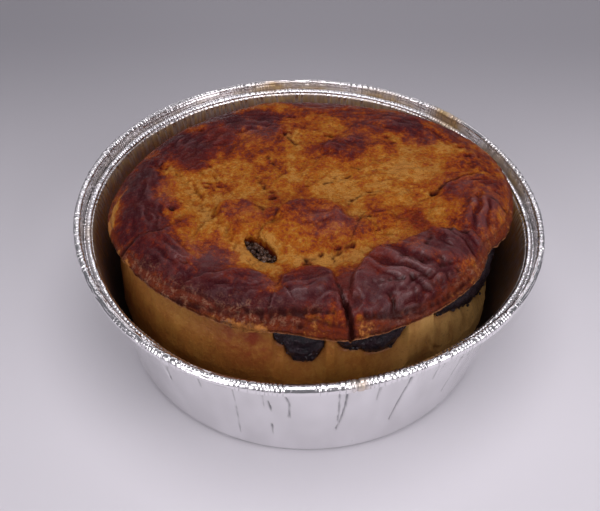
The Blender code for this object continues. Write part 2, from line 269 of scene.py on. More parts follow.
# Foil tin
tin = {
    "foil": 0.35,
    "rimFoil": 0.2,
    "rollCentre": (61.65, 39.25),
    "rollRadius": 0.62,
    "beadCentre": (58.95, 36.85),
    "beadRadius": 0.62,
    "groove": ((60.85, 38.4), (60.6, 37.3), (60.2, 36.5), (59.8, 36.4)),
    "wallFoot": (51.1, 2),
    "base": ((50.5, 0.6), (49.3, 0), (40, 0), (38.5, 0.6), (0, 0.6)),
    "rimOut": ((1, -0.03, -0.16), (2, 0.49, -0.48), (3, 0.54, 0.23), (4, 0.05, -0.03), (5, -0.10, -0.12)),
    "rimUp": ((1, 0, 0.25), (3, -0.65, 0), (2, 0, -0.20)),
    # the radii and heights over which the ridge's own waves set in
    "beadRadii": (60.9, 60.1),
    "beadHeights": (12, 36),
    "beadUp": ((1, 0, 0.75),),
    "grooveRadius": 60.25,
    "wallRadius": 56,  # where lengths along the wall are measured
    "rimColumns": 2400,
    "wallColumns": 1320,
    "wallRows": 34,
    "baseColumns": 360,
    "rollCrimps": 304,
    "beadCrimps": 344,
    "wallRibs": 262,
    "crimpHeight": 0.36,
    "pleatHeight": 0.20,
    "ribHeight": 0.20,
    "ribStart": (31, 7),  # height where the ribs begin, and how much lower some do
    "dents": (0.20, 0.25),  # height of the broad dents on the ridges and on the wall
    "fullFront": (-90, 50, 0.65),  # the roll is fuller here: angle, half width, height
    # stretches of the rolled edge that stayed smooth: angle and half width in degrees
    "smoothRim": ((-90.5, 3.4), (-84, 1), (-62, 1.2), (37, 5), (84, 4)),
    # stretches where it was pressed into lengthwise pleats, the same way
    "pleats": ((-141, 17), (-24, 9), (-112, 6), (128, 14), (95, 10)),
    # creases of the outer wall: depth, width, and (angle, height) along the fold
    "creases": (
        (0.55, 0.5, ((-129.5, 24.2), (-129.1, 20.6))),
        (0.3, 0.24, ((-108, 36), (-108, 27.5), (-108.2, 17.7), (-108.6, 6.5))),
        (0.3, 0.26, ((-100.5, 35), (-100.4, 26))), (0.45, 0.32, ((-99.2, 28.2), (-98.6, 23.2))),
        (0.45, 0.3, ((-98.8, 14.8), (-98.8, 10.2))),
        (0.4, 0.34, ((-94.9, 32), (-93.9, 27.5), (-94.1, 20))),
        (0.35, 0.26, ((-82, 36.5), (-81.3, 21.8), (-81.3, 16.5))),
        (0.45, 0.34, ((-79.8, 32.5), (-79.8, 25), (-80.3, 19.2), (-80.8, 15.2), (-81.4, 12.4))),
        (0.45, 0.34, ((-62.6, 34), (-63, 28.6), (-64.6, 19.7), (-65.8, 11))),
        (0.35, 0.36, ((-45, 26), (-46.6, 18.2), (-47.7, 12.4))), (0.25, 0.3, ((-71, 34), (-71.6, 25))),
        (0.25, 0.3, ((-54, 33), (-54.6, 23))), (0.25, 0.3, ((-117.5, 34), (-117.3, 27))),
    ),
    # baked-on juice: angle, radius, half length, half width, amount
    "stains": (
        (46, 60, 6, 3.4, 1), (-78.5, 61.6, 2.2, 1.6, 0.8), (66, 60.4, 9, 0.9, 0.75),
        (96, 60.4, 16, 0.9, 0.75), (20, 60.4, 12, 0.9, 0.65), (-172, 59, 5, 1.6, 0.35),
        (-120, 59, 7, 1.2, 0.2), (101, 60, 3, 2, 0.8),
    ),
}


def arc(centre, radius, low, high, step):
    turns = np.radians(np.arange(low, high + 1e-6, step))
    return np.column_stack([centre[0] + radius * np.cos(turns), centre[1] + radius * np.sin(turns)])


def foilSides(path):
    # the directions that face up on the rim and in on the wall
    run = np.gradient(path, axis=0)
    run /= np.linalg.norm(run, axis=1)[:, None]
    return np.column_stack([run[:, 1], -run[:, 0]])


def crimps(turns, valley=0.8):  # round backs with narrow valleys between
    return smooth(np.abs(np.sin(math.pi * turns)), 0, valley) - 0.6


def eachCrimp(turns, seed):  # one number from 0 to 1 for each crimp
    return np.modf(np.abs(np.sin(np.floor(turns) * 12.9898 + seed)) * 437.585)[0]


def bentRim(radius, height, degrees):
    share = smooth(height, tin["wallFoot"][1], tin["rollCentre"][1])
    grow = 1 + share * waves(tin["rimOut"], degrees) / tin["rollCentre"][0]
    inner = smooth(radius, *tin["beadRadii"]) * smooth(height, *tin["beadHeights"])
    x, y = polarPoint((0, 0), degrees, radius * grow)
    up = share * waves(tin["rimUp"], degrees) + inner * waves(tin["beadUp"], degrees)
    return np.stack([x, y, height + up], -1)


def foilSheet(path, columns, relief, thick, skip=1):
    # a closed ribbon of foil round the tin, with the same relief on both sides; relief gives its
    # height, the painted shade below, then stain and painted shade above; skip thins out the rows below
    out = foilSides(path)
    degrees = allRound(columns)
    raised, *tones = relief(degrees)
    outerShade, stain, fold = (np.broadcast_to(values, raised.shape) for values in tones)
    sides = []
    for depth in (0, thick):
        off = depth + raised
        sides.append(bentRim(path[:, :1] + out[:, :1] * off, path[:, 1:] + out[:, 1:] * off, degrees))
    kept = np.unique(np.append(np.arange(0, len(path), skip), len(path) - 1))

    def joined(below, above):
        return np.concatenate([below[kept], above[::-1], below[:1]])

    return joined(*sides), True, {"stain": joined(0 * stain, stain), "fold": joined(outerShade, fold)}


def stainAt(degrees, radius, height):
    low = smooth(rough(5, *polarPoint((0, 0), degrees, radius), height * 0.4), -0.5, 0.5)
    return unit(blobs(tin["stains"], degrees, radius) * (0.55 + 0.6 * low))


def stretches(name, degrees):  # 1 within the stretches of one of the tables above
    share = 0
    for centre, half in tin[name]:
        share = np.maximum(share, smooth(np.abs(turnFrom(degrees, centre)), 1.3 * half, 0.6 * half))
    return share


def ridgeRelief(degrees, count, seed, around, path):
    # crimps across a ridge: uneven in width and strength, some of them slanting
    even, slant = ringRough(9, degrees, seed), 0.6 * ringRough(7, degrees, seed + 5)
    turns = degrees * count / 360 + 2.4 * even + slant * around
    turns = turns + 0.45 * rough(1, 0.7 * degrees, 0, seed + 2)
    strength = (0.35 + 1.15 * eachCrimp(turns, seed)) * (0.8 + 0.5 * rough(1, 0.45 * degrees, 0, seed))
    ridged = strength * crimps(turns, 0.6)
    fine = ringRough(60, degrees, path[:, 1:] * 2)
    dents = tin["dents"][0] * ringRough(5, degrees, seed + 9)
    # the last value is painted shade in the valleys between the crimps
    return tin["crimpHeight"] * ridged + 0.05 * fine, dents, unit(-1.6 * ridged)


def makeRim():
    roll = arc(tin["rollCentre"], tin["rollRadius"], -100, 205, 12)
    groove = np.array(tin["groove"])
    bead = arc(tin["beadCentre"], tin["beadRadius"], 30, 180, 12)
    tail = bead[-1] + [-0.12, -0.5]
    outer = np.concatenate([roll, groove[:3]])
    inner = np.concatenate([groove[2:], bead, [tail]])
    beadShare = smooth(np.abs(np.arange(len(inner)) - 0.5 * len(inner)), 0.5 * len(inner), 0.25 * len(inner))

    def tones(degrees, path, valleyShade):
        # juice gathers in the groove, most of all at the back; painted shade darkens the groove and the
        # crimps' valleys
        inGroove = hump(path[:, :1], tin["grooveRadius"], 0.6)
        behind = smooth(np.sin(np.radians(degrees)), -0.3, 0.5)
        worn = 0.7 + 0.5 * rough(1, 0.25 * degrees, 0, 8)
        stain = stainAt(degrees, path[:, :1], path[:, 1:]) + inGroove * (0.25 + 0.45 * behind) * worn
        return 0, unit(stain), unit(0.62 * inGroove + 0.60 * valleyShade)

    def rollRelief(degrees):
        around = (np.arange(len(outer)) / len(roll))[:, None]
        crimped, dents, valleyShade = ridgeRelief(degrees, tin["rollCrimps"], 3, around, outer)
        pleats = stretches("pleats", degrees)
        plain = np.maximum(stretches("smoothRim", degrees), 0.80 * pleats)
        long = tin["pleatHeight"] * crimps(around * 4.5 + 0.5 * rough(1, 0.3 * degrees, 0, 2))
        fade = smooth(around, 1.12, 0.95)
        centre, half, height = tin["fullFront"]
        swell = height * nearTurn(degrees, centre, half)
        raised = fade * (crimped * (1 - plain) + pleats * long + swell) + dents
        return raised, *tones(degrees, outer, fade * (1 - plain) * valleyShade)

    def beadRelief(degrees):
        around = (np.arange(len(inner)) / len(inner))[:, None]
        crimped, dents, valleyShade = ridgeRelief(degrees, tin["beadCrimps"], 21, around, inner)
        return beadShare[:, None] * crimped + dents, *tones(degrees, inner, beadShare[:, None] * valleyShade)

    for name, path, relief in (("foilRoll", outer, rollRelief), ("foilBead", inner, beadRelief)):
        sheet = foilSheet(path, tin["rimColumns"], relief, tin["rimFoil"], skip=3)
        addPiece(name, "foil_tin", foilFinish, [sheet])


def makeWall():
    head = np.array(tin["beadCentre"]) + [-tin["beadRadius"] - 0.1, -0.1]
    foot = np.array(tin["wallFoot"])
    shares = np.linspace(0, 1, tin["wallRows"])[:, None] ** 1.15
    path = np.concatenate([head + shares * (foot - head), np.array(tin["base"][:2])])
    height = path[:, 1:]

    def relief(degrees):
        across = tin["wallRadius"] * np.radians(degrees)
        turns = degrees * tin["wallRibs"] / 360 + 1.2 * ringRough(12, degrees, 0.06 * height)
        start = tin["ribStart"][0] - tin["ribStart"][1] * eachCrimp(turns, 2)
        ribs = crimps(turns, 0.9)
        depth = tin["ribHeight"] * smooth(height, start - 4, start + 3) * ribs
        depth = depth * (0.5 + 0.7 * eachCrimp(turns, 8))
        depth = depth + tin["dents"][1] * ringRough(5, degrees, 0.05 * height) * smooth(height, 1, 8)
        fold, wander = 0, 0.22 * rough(2.2, across, height, 60)
        for deep, wide, line in tin["creases"]:
            line = [(tin["wallRadius"] * math.radians(angle), level) for angle, level in line]
            off = np.abs(fromLine(across, height, line)[0] + wander)
            depth = depth + deep * hump(off, 0, wide)
            # painted shade darkens the middle of each crease
            fold = np.maximum(fold, deep * 2 * hump(off, 0, 0.6 * wide))
        # the inside is varnished by the juices that baked on it, but not on the tops of the ribs
        crest = smooth(ribs, 0, 0.35) * smooth(height, 31.5, 36.5)
        bare = crest * smooth(eachCrimp(turns, 5), 0.25, 0.8)
        smoke = unit(1 - bare - 0.8 * smooth(height, 35.6, 37.2))
        # the creases' painted shade goes on the outside; on the inside, painted shade darkens the wall
        # downward
        return depth, unit(fold), smoke, 0.75 * smooth(height, 34, 20)

    addPiece("foilWall", "foil_tin", foilFinish, [foilSheet(path, tin["wallColumns"], relief, tin["foil"])])


def makeBase():
    path = np.array(tin["base"])
    fine = [path[1]]
    for a, b in zip(path[1:], path[2:]):
        fine += [a + (b - a) * share for share in np.linspace(0, 1, 6)[1:]]
    path = np.array(fine)

    def relief(degrees):
        x, y = polarPoint((0, 0), degrees, path[:, :1])
        return smooth(path[:, 1:], 0.1, 0.5) * 0.10 * rough(9, x, y), 0, 0, 0

    addPiece("foilBase", "foil_tin", foilFinish, [foilSheet(path, tin["baseColumns"], relief, tin["foil"])])


def foilMaterial():
    material, place = newFinish("pressed foil")
    stain, fold = place.mark("stain"), place.mark("fold")
    height = place.part("Z")
    onRim = height.rise(0.0345, 0.0365)
    drawn = place.stretched(1, 1, 0.12).cloud(0.8, 3)
    facets = place.stretched(1, 1, 0.4).cloud(6, 1)
    worn = place.cloud(2.2, 4)
    wall = facets.mix((0.72, 0.71, 0.72), (0.96, 0.95, 0.96))
    bare = onRim.mix(wall, (0.93, 0.91, 0.93))
    baked = worn.rise(0.3, 0.7).mix((0.21, 0.033, 0.008), (0.38, 0.165, 0.036))
    # near the top the baked-on juice turns golden: partly its own colour, partly a painted highlight where
    # the inner wall's curved top catches the light
    goldenStainAndHighlight = worn.rise(0.3, 0.7).mix((0.34, 0.170, 0.045), (0.60, 0.410, 0.160))
    baked = height.rise(0.0335, 0.0368).mix(baked, goldenStainAndHighlight)
    brown = (stain * (0.55 + worn * 0.8)).maths("MINIMUM", 1)
    return fillIn(material, {
        # painted shade darkens the creases, the groove, the crimps' valleys and the lower inside
        "Base Color": layered(bare, ((brown * 0.92, baked), (fold * 0.85, (0.05, 0.05, 0.06)))),
        "Metallic": 1 - brown * 0.4,
        "Roughness": 0.20 + 0.10 * worn + 0.20 * brown - 0.02 * onRim,
        "Normal": place.bump(drawn + facets, 0.16, 0.55),
    })


foilFinish = foilMaterial()
makeRim()
makeWall()
makeBase()


# Lid, with the same dome and bulges as the solid that it stands for
lid = {
    "axis": (1.45, 0.6),
    "radius": 52.5,
    "edgeHeight": 42.1,
    "slope": (0.03, -0.08),
    "edgeThick": 3.2,
    "thick": 4.5,
    "shoulder": 4.9,
    "crown": 1.3,
    "cells": 264,
    "edgeWaves": ((2, 1.1, 0.3), (3, -0.1, 0.8), (4, 0.1, 0.7)),
    # dips and bumps of the edge: angle, half width, how far out
    "edgeNicks": (
        (-97, 7, -1.2), (-81, 6, 0.8), (-26, 7, -2), (69, 9, -0.7), (-172, 13, 1), (-80.2, 0.5, -0.9),
    ),
    "edgeWobble": (26, 0.30),  # fineness and height of its small unevenness
    # bulges of the solid: angle, radius, half length, half width, height
    "swellings": (
        (-54, 43.5, 17, 8.5, 2.6), (-92, 43.5, 7.5, 7.5, 2.5), (-115, 45, 9.5, 5.5, 2.2),
        (-143, 46.5, 10, 7, 1.9), (-172, 45.5, 14, 6.5, 1.5), (145, 41, 14, 8, 1.5), (108, 45, 9, 6, 0.8),
        (50, 43, 12, 6.5, 1.3), (20, 43, 9, 6, 1), (-13, 45, 11, 8, 2), (-143, 24.4, 7.5, 6, 1.2),
        (-98, 16, 9.5, 7, 1.6), (59, 16.7, 9, 4.5, 1.2), (-82, 31, 11, 3.5, -1.2),
        (-120, 34.5, 12, 4, -1), (-160, 33, 9, 5, -1), (-20, 29, 9, 6, -0.8),
    ),
    "ripple": (7, 0.45),  # size and height of the low bumps between them
    # from here on, places are x and y from the lid's middle
    # size and height of the unevenness of the glazed skin
    "skin": ((4, 0.34), (2, 0.18), (1.1, 0.11)),
    # puckered skin: x, y, half length, half width, direction of the folds, their height and width
    "puckers": (
        (20, -33, 13, 8, -28, 1, 2.6), (27, -40, 15, 4.5, 36, 0.62, 1.7), (36, -24, 8, 6, -38, 0.85, 1.8),
        (43, -11, 8, 5, 75, 0.9, 1.8), (42, 4, 9, 6, 32, 0.85, 1.7), (-41, -14, 8, 7, 100, 0.8, 2),
        (-36, 18, 9, 8, 60, 0.52, 1.8), (-2, -41, 8, 6, 12, 0.6, 2.4), (-20, -38, 11, 5, -6, 0.8, 2.2),
        (22, 31, 9, 6, -20, 0.75, 1.9), (-36, -28, 8, 6, -50, 0.75, 2), (-27, 1, 8, 7, -68, 0.6, 1.3),
        (-7, 24, 7, 5, 78, 0.52, 1.4), (-22, -17, 9, 4, -55, 0.45, 1.2), (17, -17, 6, 6, 20, 0.52, 1.4),
        (-28, 25, 11, 7, 40, 0.75, 2.2), (-15, 33, 9, 6, -10, 0.65, 1.9), (-45, 2, 12, 6, 95, 0.65, 2),
        (4, 39, 12, 6, 0, 0.55, 2), (34, 24, 9, 6, -40, 0.65, 1.9), (45, 16, 8, 5, 80, 0.55, 1.6),
        (18, 5, 14, 8, 15, 0.45, 2.2), (-8, 5, 9, 7, 65, 0.45, 2), (7, 18, 8, 6, -25, 0.6, 1.8),
        (27, -8, 8, 7, 30, 0.5, 1.6), (-1, -16, 8, 6, 30, 0.4, 1.8),
    ),
    # where blisters begin: rise, width of the step, how far it lasts, and a line that has the
    # blister at its right
    "ledges": (
        (1.5, 0.7, 7, ((8.5, -46), (9.5, -38), (12, -32), (15, -27.5), (21, -26), (27, -22.5),
            (30, -19.8), (36, -20.5), (42.5, -19.5))),
        (1.2, 0.6, 6, ((-8.8, -42.5), (-7, -37), (-3.5, -34.3), (1.5, -34), (4.5, -36.5), (5.5, -42))),
        (1, 0.6, 6, ((-34, -38), (-27, -36.3), (-21, -35.3), (-15, -35), (-11, -37), (-8.5, -40.5))),
        (0.7, 0.7, 5, ((-47.5, -21.5), (-43, -20), (-38, -19.4), (-34, -15), (-35, -12.5))),
        (0.5, 0.9, 5, ((-35, -12.5), (-38, -6), (-38.5, 1), (-41, 8))),
        (0.6, 0.7, 6, ((-41, 9), (-34, 7), (-30.5, 11), (-24, 12.5), (-21, 20), (-14, 28))),
        (1.4, 0.6, 6, ((-26, -13.5), (-24, -9.5), (-18.5, -8), (-13, -10.5))),
        (1.6, 0.6, 7, ((-10.5, -17), (-6.5, -10.6), (-1, -8.4), (4, -9.2), (9.5, -14))),
        (1.1, 0.5, 6, ((11.5, -18), (13, -13.5), (17.5, -11.6), (22, -13.5))),
        (0.7, 0.6, 6, ((31.5, -3.5), (34.5, -0.5), (38.5, 3), (44, 5), (48.5, 6))),
        (0.5, 0.5, 5, ((37, -14), (41, -7), (46, -5.5), (50.5, -7.5))),
        (0.5, 0.6, 5, ((2, 14), (4, 20), (10, 22.5), (16, 21))),
        (0.5, 0.6, 6, ((9, 26), (14, 31.5), (22, 34), (30, 30))),
    ),
    # folds and cracks: depth, half width, and the line
    "creases": (
        (0.45, 0.3, ((3, 0.2), (4.8, 0.8), (6, 3.2))),
        (0.3, 0.35, ((-10.5, -17), (-6.5, -10.6), (-1, -8.4), (4, -9.2))),
        (0.3, 0.35, ((-12.8, -16.5), (-13, -10.5), (-18.5, -8))), (0.4, 0.3, ((7.5, 2.5), (9.5, 3.8))),
        (0.55, 0.35, ((9, -9), (10, -6.8), (12.2, -5.2))),
        (0.45, 0.3, ((0.2, -7.7), (2.5, -8), (4.2, -9.8))),
        (0.5, 0.35, ((11, -17.5), (12.5, -16), (14.5, -15.2))),
        (0.5, 0.5, ((-15.2, 3.5), (-14, 1), (-12.6, -1.5))),
        (0.45, 0.45, ((-12.5, 13), (-10.8, 9.5), (-9.2, 7.3))),
        (0.7, 1.4, ((-44, 12), (-38, 7.5), (-33, 1), (-28, -10), (-22, -20.5), (-13, -32))),
        (0.5, 0.5, ((-8.5, 25), (-6.2, 21.5), (-4.5, 19.5))),
        (0.8, 0.5, ((31.2, -3.8), (34.5, -0.5), (38.5, 3), (44, 5))),
        (0.6, 0.5, ((46, -6.3), (48, -6.8), (51, -7.3))),
        (1, 0.55, ((-48.5, -22.5), (-44, -20.2), (-38.5, -19.7))),
        (0.7, 0.5, ((28.5, -20), (29, -24), (27.5, -27.5))),
        (0.55, 0.6, ((21, -32), (25, -33.5), (31, -31.5))),
        (0.45, 0.6, ((14, -41), (20, -39.5), (27, -37), (33, -32))),
        (0.45, 0.6, ((24, -41.5), (30, -38), (35, -33))),
        (0.5, 0.45, ((33, -21), (36.5, -21.8), (41, -20.5))),
        (0.65, 0.45, ((12, -49), (18, -47.6), (25, -45), (32, -40), (38, -33.5))),
        (0.45, 0.4, ((14, -51), (20, -49.3), (28, -45.5))),
        (1.1, 0.55, ((18.2, -43.8), (18.6, -45.2), (18.8, -47.4))),
        (0.7, 0.45, ((-12, -48.3), (-6, -47.6), (0, -48.3), (5, -48.8))),
        (0.45, 0.4, ((-4, -50), (2, -50), (6, -50.6))),
        (0.6, 0.4, ((-34, -39.5), (-27, -43), (-20, -45.8), (-12, -47.4))),
        (0.5, 0.4, ((-38, -37.5), (-30, -43.3), (-22, -47.3), (-14, -49.2))),
        (1, 0.42, ((5.8, -40.5), (6.3, -43), (7, -45.5))),
        (2.6, 0.44, ((7.4, -46), (8.1, -48.5), (8.8, -51.5), (9.1, -54))),
        (0.5, 0.35, ((0, -29.8), (2.2, -28.2))), (0.55, 0.45, ((-1.8, -30), (-1, -33))),
        (0.45, 0.35, ((4.8, -29.3), (7.5, -26.4), (9.8, -25.6))), (0.4, 0.35, ((10.5, 8), (12.5, 6.6))),
        (0.4, 0.35, ((42, 10), (44.5, 11.3))),
    ),
    # holes of the fork and burst bubbles: x, y, radius, depth
    "pits": (
        (4.7, 24.2, 1.25, 3), (-32.3, 27.5, 0.95, 2.4), (-42.3, 11.5, 0.9, 1.8), (-36.6, -9.2, 1.25, 1.5),
        (-28.4, 1.4, 0.85, 1.6), (-28.6, -0.6, 0.7, 1.3), (-25, -0.5, 0.8, 1.6), (-25.2, 1.2, 0.6, 1),
        (-28.3, 8.5, 0.8, 0.8), (-11, -3.2, 0.8, 1), (-10.4, -6, 1, 1.4), (-1.6, -0.8, 0.8, 0.6),
        (7.2, -11.7, 0.85, 1.5), (14.6, -3.2, 0.8, 1.1), (15.3, -5, 0.5, 0.8), (31.6, -2.9, 1.1, 2.4),
        (48.6, -1.7, 0.85, 2), (40.8, 18.3, 0.9, 2.2), (42.6, 14, 0.9, 1.3), (20.6, 23.2, 0.65, 1.2),
        (21.8, 20.3, 0.5, 0.9), (-7.6, 25.8, 1.1, 1.3), (-6.4, 35.2, 0.9, 1.5), (0.6, 27.4, 0.8, 0.5),
        (-31.8, -31, 1.5, 1), (-1.5, -31.8, 0.9, 1.4), (1.7, -28.5, 0.45, 0.9), (6, -26.2, 0.8, 1),
        (9.6, -26, 0.6, 0.9), (5, -30, 0.4, 0.6), (18.5, -44.6, 0.7, 1.2), (-40, 21, 0.6, 0.7),
        (26.5, 17, 0.5, 0.5),
    ),
    # crackled skin: x, y, half length, half width, direction, amount
    "crackle": (
        (26.5, -14.5, 5, 3.5, 80, 1), (6, -26.5, 5, 2.5, 10, 0.6), (14.5, -4, 2, 2, 0, 0.5),
        (-10.5, -5.5, 3, 1.8, 100, 0.7), (22, 22, 3, 2.5, -40, 0.5), (-6, 35, 3, 2, 0, 0.4),
        (8, -43, 6, 2, 90, 0.7), (16, -12, 2.2, 2, 0, 0.5),
    ),
    # flaky layers at the edge, the same way
    "flakes": (
        (-44.5, -28, 9, 1.4, -56, 0.6), (-39, -33, 8, 2.2, -45, 0.8), (-29, -42, 9, 2.6, -32, 1),
        (-17, -47.2, 9, 2.8, -16, 1), (-4, -48.6, 7, 1.6, -2, 0.7), (20, -48, 9, 1.6, 22, 0.5),
        (38, -32, 8, 2, 55, 0.7), (45, -18.5, 6, 2, 68, 0.4), (-50, 8, 10, 1.2, 98, 0.3),
        (-46, 25, 8, 1.6, 62, 0.3),
    ),
    # browned places, the same way; pale ones are below 0
    "browning": (
        (-47, 6, 13, 6.5, 98, 0.52), (-45, -12, 11, 6, 78, 0.5), (-36, 18.5, 8.5, 8, 0, 0.58),
        (-26.5, 27, 8, 6, 80, 0.5), (-17, 35, 9, 5.5, 0, 0.45), (-13, 28, 5.5, 5, 0, 0.22),
        (-33, 11, 5, 4, 0, 0.4), (-27, 17, 5, 5, 0, 0.22), (-42, 27, 6, 6, 0, 0.28),
        (-37, -17, 5, 4, 0, 0.38), (-38, -27, 9.5, 6, -52, 0.52), (-23, -29.5, 5.5, 5, 90, 0.34),
        (-28, -38, 8, 4, -25, 0.45), (-17.5, -39.5, 9.5, 4.5, -5, 0.48), (-15, -45, 12, 3, -15, 0.4),
        (-1, -40.5, 7.5, 6.5, 0, 0.44), (8, -42, 3, 9, 0, 0.5), (14.5, -32, 3, 7, -15, 0.38),
        (23, -35, 15, 9, 35, 0.44), (15, -44, 8, 5, 10, 0.36), (34, -25, 9, 4.5, 10, 0.4),
        (28, -18, 2.5, 7, 10, 0.28), (26.5, -12.5, 3.5, 3, 0, 0.16), (43, -12, 4.5, 9, -8, 0.23),
        (38, -3, 5, 4, 10, 0.3), (45, 3, 7, 5, 60, 0.19), (38.5, 7, 5, 4, 0, 0.2),
        (46, 14, 6, 5, 70, 0.16), (22, 31, 9.5, 5.5, -15, 0.42), (29, 24.5, 6, 5, -20, 0.36),
        (13.5, 27, 4.5, 5, 0, 0.26), (37, 27, 8, 6, -45, 0.22), (8.5, 17, 6.5, 5.5, -20, 0.46),
        (1, 19, 4, 5, 0, 0.2), (16, 21, 5, 4, 0, 0.18), (5, 40, 10, 6, 0, 0.22),
        (0, 47, 18, 4.5, 0, 0.32), (30, 39, 12, 4, -38, 0.25), (-30, 38, 9, 5, 40, 0.35),
        (5, -17.5, 6.5, 4.5, -10, 0.08), (-1, -15.8, 10, 6.5, -4, 0.15), (-18.5, -14.5, 7, 6, -10, 0.12),
        (17, -16.5, 5, 4.5, 0, 0.12), (-25, -28.5, 6, 5, 80, 0.2), (-17.8, -48.6, 9.5, 1.5, -18, -0.55),
        (10.4, -50, 4.5, 0.5, 98, -0.14), (-45, 0, 5, 20, 0, 0.08), (-5, -46, 8, 3.6, -4, 0.34),
        (22, -44.5, 10, 4, 28, 0.25), (3.5, -46.5, 4.5, 3, 0, 0.2), (0, 34, 26, 9, 0, 0.12),
        (16, -12, 2.5, 2, 0, 0.2), (19, -17, 3, 2.5, 0, 0.1), (31, 12, 8, 9, 0, -0.07),
        (36, -9, 4, 6, 0, 0.04), (-53.2, -9, 16, 0.8, 80, -0.6), (-46.6, -26.8, 9, 0.6, -62, -0.5),
        (-18, 18, 9, 8, 0, 0.12), (-12, 7, 5, 5, 0, 0.1), (-36.6, -8.5, 2.2, 2.6, 0, 0.22),
        (0, -25, 9, 3, 0, 0.05), (18, 4, 16, 7, 10, -0.2), (25, 7.5, 6, 4, 40, -0.14),
        (25, -5, 7, 4, -10, -0.18), (8, -4, 8, 5, 0, -0.12), (-4, 6, 4, 7, 20, -0.2),
        (-28, -3, 9, 4, -40, -0.18), (-37.5, 5, 7, 2.6, -38, -0.22), (-24.5, -17, 8, 2.4, -55, -0.32),
        (-10.5, -25.5, 2.6, 4, 30, -0.34), (-12, -32, 7, 1.7, -42, -0.42), (1.5, -31, 4.5, 3, 0, -0.32),
        (8, -29, 7, 2.6, 25, -0.26), (-6.5, -30, 3, 3, 0, -0.15), (37, 17.5, 3.5, 4.5, 0, -0.22),
        (22, 22.5, 3, 2, -50, -0.28), (33, -9.5, 3, 4, 0, -0.12), (-6.5, 25, 2.5, 7, 10, -0.2),
        (4, 30, 5, 6, 0, -0.16), (-28, 9, 3, 4, 20, -0.16), (-19, 2, 5, 3, -30, -0.1),
        (-33, -23, 3.5, 3, 0, -0.08),
    ),
    # deep red glaze, the same way
    "redness": (
        (14.5, -31, 2, 6.5, -14, 0.75), (28, -18, 2.5, 6.5, 12, 0.7), (25.5, -14.5, 4, 5.5, 0, 0.85),
        (0, -35.5, 6.5, 1.8, 0, 0.6), (7.6, -41, 2.6, 8, 0, 0.6), (-10.6, -5, 1.4, 3.5, 15, 0.6),
        (-34, 12, 6, 4.5, 0, 0.45), (-26, 22, 4, 9, 0, 0.4), (6, 41, 8, 5, 0, 0.45),
        (-7.5, 26.5, 2, 3, 0, 0.45), (38, -6, 4, 5, 0, 0.45), (36, 4, 6, 5, 0, 0.35),
        (-1.5, -31.5, 1.8, 2.2, 0, 0.6), (7, -26, 3.5, 1.6, 0, 0.4), (-20, -36.5, 11, 1.6, 5, 0.4),
        (-36, -16.5, 5, 4, 0, 0.35), (3, 18, 3.5, 5, 0, 0.4), (29, 13, 5, 8, 0, 0.25),
        (0, -52, 40, 3, 0, 0.35), (-22, -8, 3.5, 6, 0, 0.15),
    ),
    # patches of the satin glaze's gloss, and of its grey sheen painted into the colour, the same way
    "bloom": (
        (-40, -7, 3, 9, -5, 0.28), (-15, 27, 6, 6, 0, 0.35), (-19.5, 28.5, 4, 3.5, 0, 0.3),
        (-24.5, -28.5, 6, 5.5, 0, 0.55), (-12.5, -39.5, 4, 2.8, 0, 0.5), (-24, -38, 5, 2.5, -20, 0.22),
        (-2, -43, 7, 3.5, 0, 0.6), (20, -36, 13, 7.5, 38, 0.95), (34, -30.5, 4, 2.5, 30, 0.5),
        (36, -24, 6, 3.5, 0, 0.4), (44, -11, 3.8, 8, -10, 0.85), (40, 0, 6, 3.5, 20, 0.35),
        (30, 21.5, 4, 3, 0, 0.35), (21, 32, 8, 4, 0, 0.35), (12, 22, 5, 4, 0, 0.25),
        (5, -17.5, 6.5, 4, -10, 0.65), (-18, -13.5, 5, 4, 0, 0.22), (-36, 21, 4, 3, 0, 0.3),
        (0, 44, 6, 4, 0, 0.3), (-34, -28, 6, 5, 0, 0.3), (-42, -2, 3, 8, 0, 0.12),
    ),
    # inner limit of the paler edge band: angle, share of the radius
    "edgeBand": (
        (-180, 0.985), (-150, 0.975), (-128, 0.96), (-110, 0.95), (-95, 0.952), (-80, 0.962),
        (-60, 0.966), (-40, 0.955), (-20, 0.97), (0, 0.982), (30, 0.985), (90, 0.985), (150, 0.982),
        (180, 0.985),
    ),
    # where the lip hangs lower: angle, radius, half length, half width, how far
    "droop": ((-112, 52.5, 5, 9, 0.5), (-77, 52.5, 3, 9, 0.5)),
    "lift": (-90, 75, 0.75),  # the front of the edge stands higher: angle, half width, height
    "front": (-88, 48),  # where the edge is broken the most: angle, half width
    # size, seed and strength of the clouds of brown
    "mottle": ((6, 5, 0.14), (2.4, 1, 0.20), (1.1, 6, 0.14)),
    "ventPlace": (-13.1, -26.1),
    "ventTurn": -48,
    "ventHalf": (5.7, 2.35),
    "ventSteps": (8, 0.55),  # how many rows its wall has, and how far each goes down
    # rows down the lid's edge: how far out and down from its lip
    "layers": (
        (0, -0.15), (0.14, -0.33), (-0.24, -0.5), (0.16, -0.7), (-0.28, -0.9), (0.06, -1.12),
        (-0.4, -1.35), (-1.4, -1.45),
    ),
}


def lidToTin(x, y):  # from places about the lid's middle to places in the tin, and back
    return x + lid["axis"][0], y + lid["axis"][1]


def tinToLid(x, y):
    return x - lid["axis"][0], y - lid["axis"][1]


def polar(x, y):
    return np.degrees(np.arctan2(y, x)), np.hypot(x, y)


# the small unevenness of the edge, which many functions ask for, is worked out once
wobbleAt = np.arange(-180, 181, 0.5)
wobble = lid["edgeWobble"][1] * ringRough(lid["edgeWobble"][0], wobbleAt, 5)


def lidEdge(degrees):
    radius = lid["radius"] + waves(lid["edgeWaves"], degrees) + np.interp(degrees, wobbleAt, wobble)
    for centre, half, depth in lid["edgeNicks"]:
        radius = radius + depth * nearTurn(degrees, centre, half)
    return radius


def lidPlane(x, y):  # these three take places in the tin, as the case and filling use them too
    return lid["edgeHeight"] + lid["slope"][0] * x + lid["slope"][1] * y


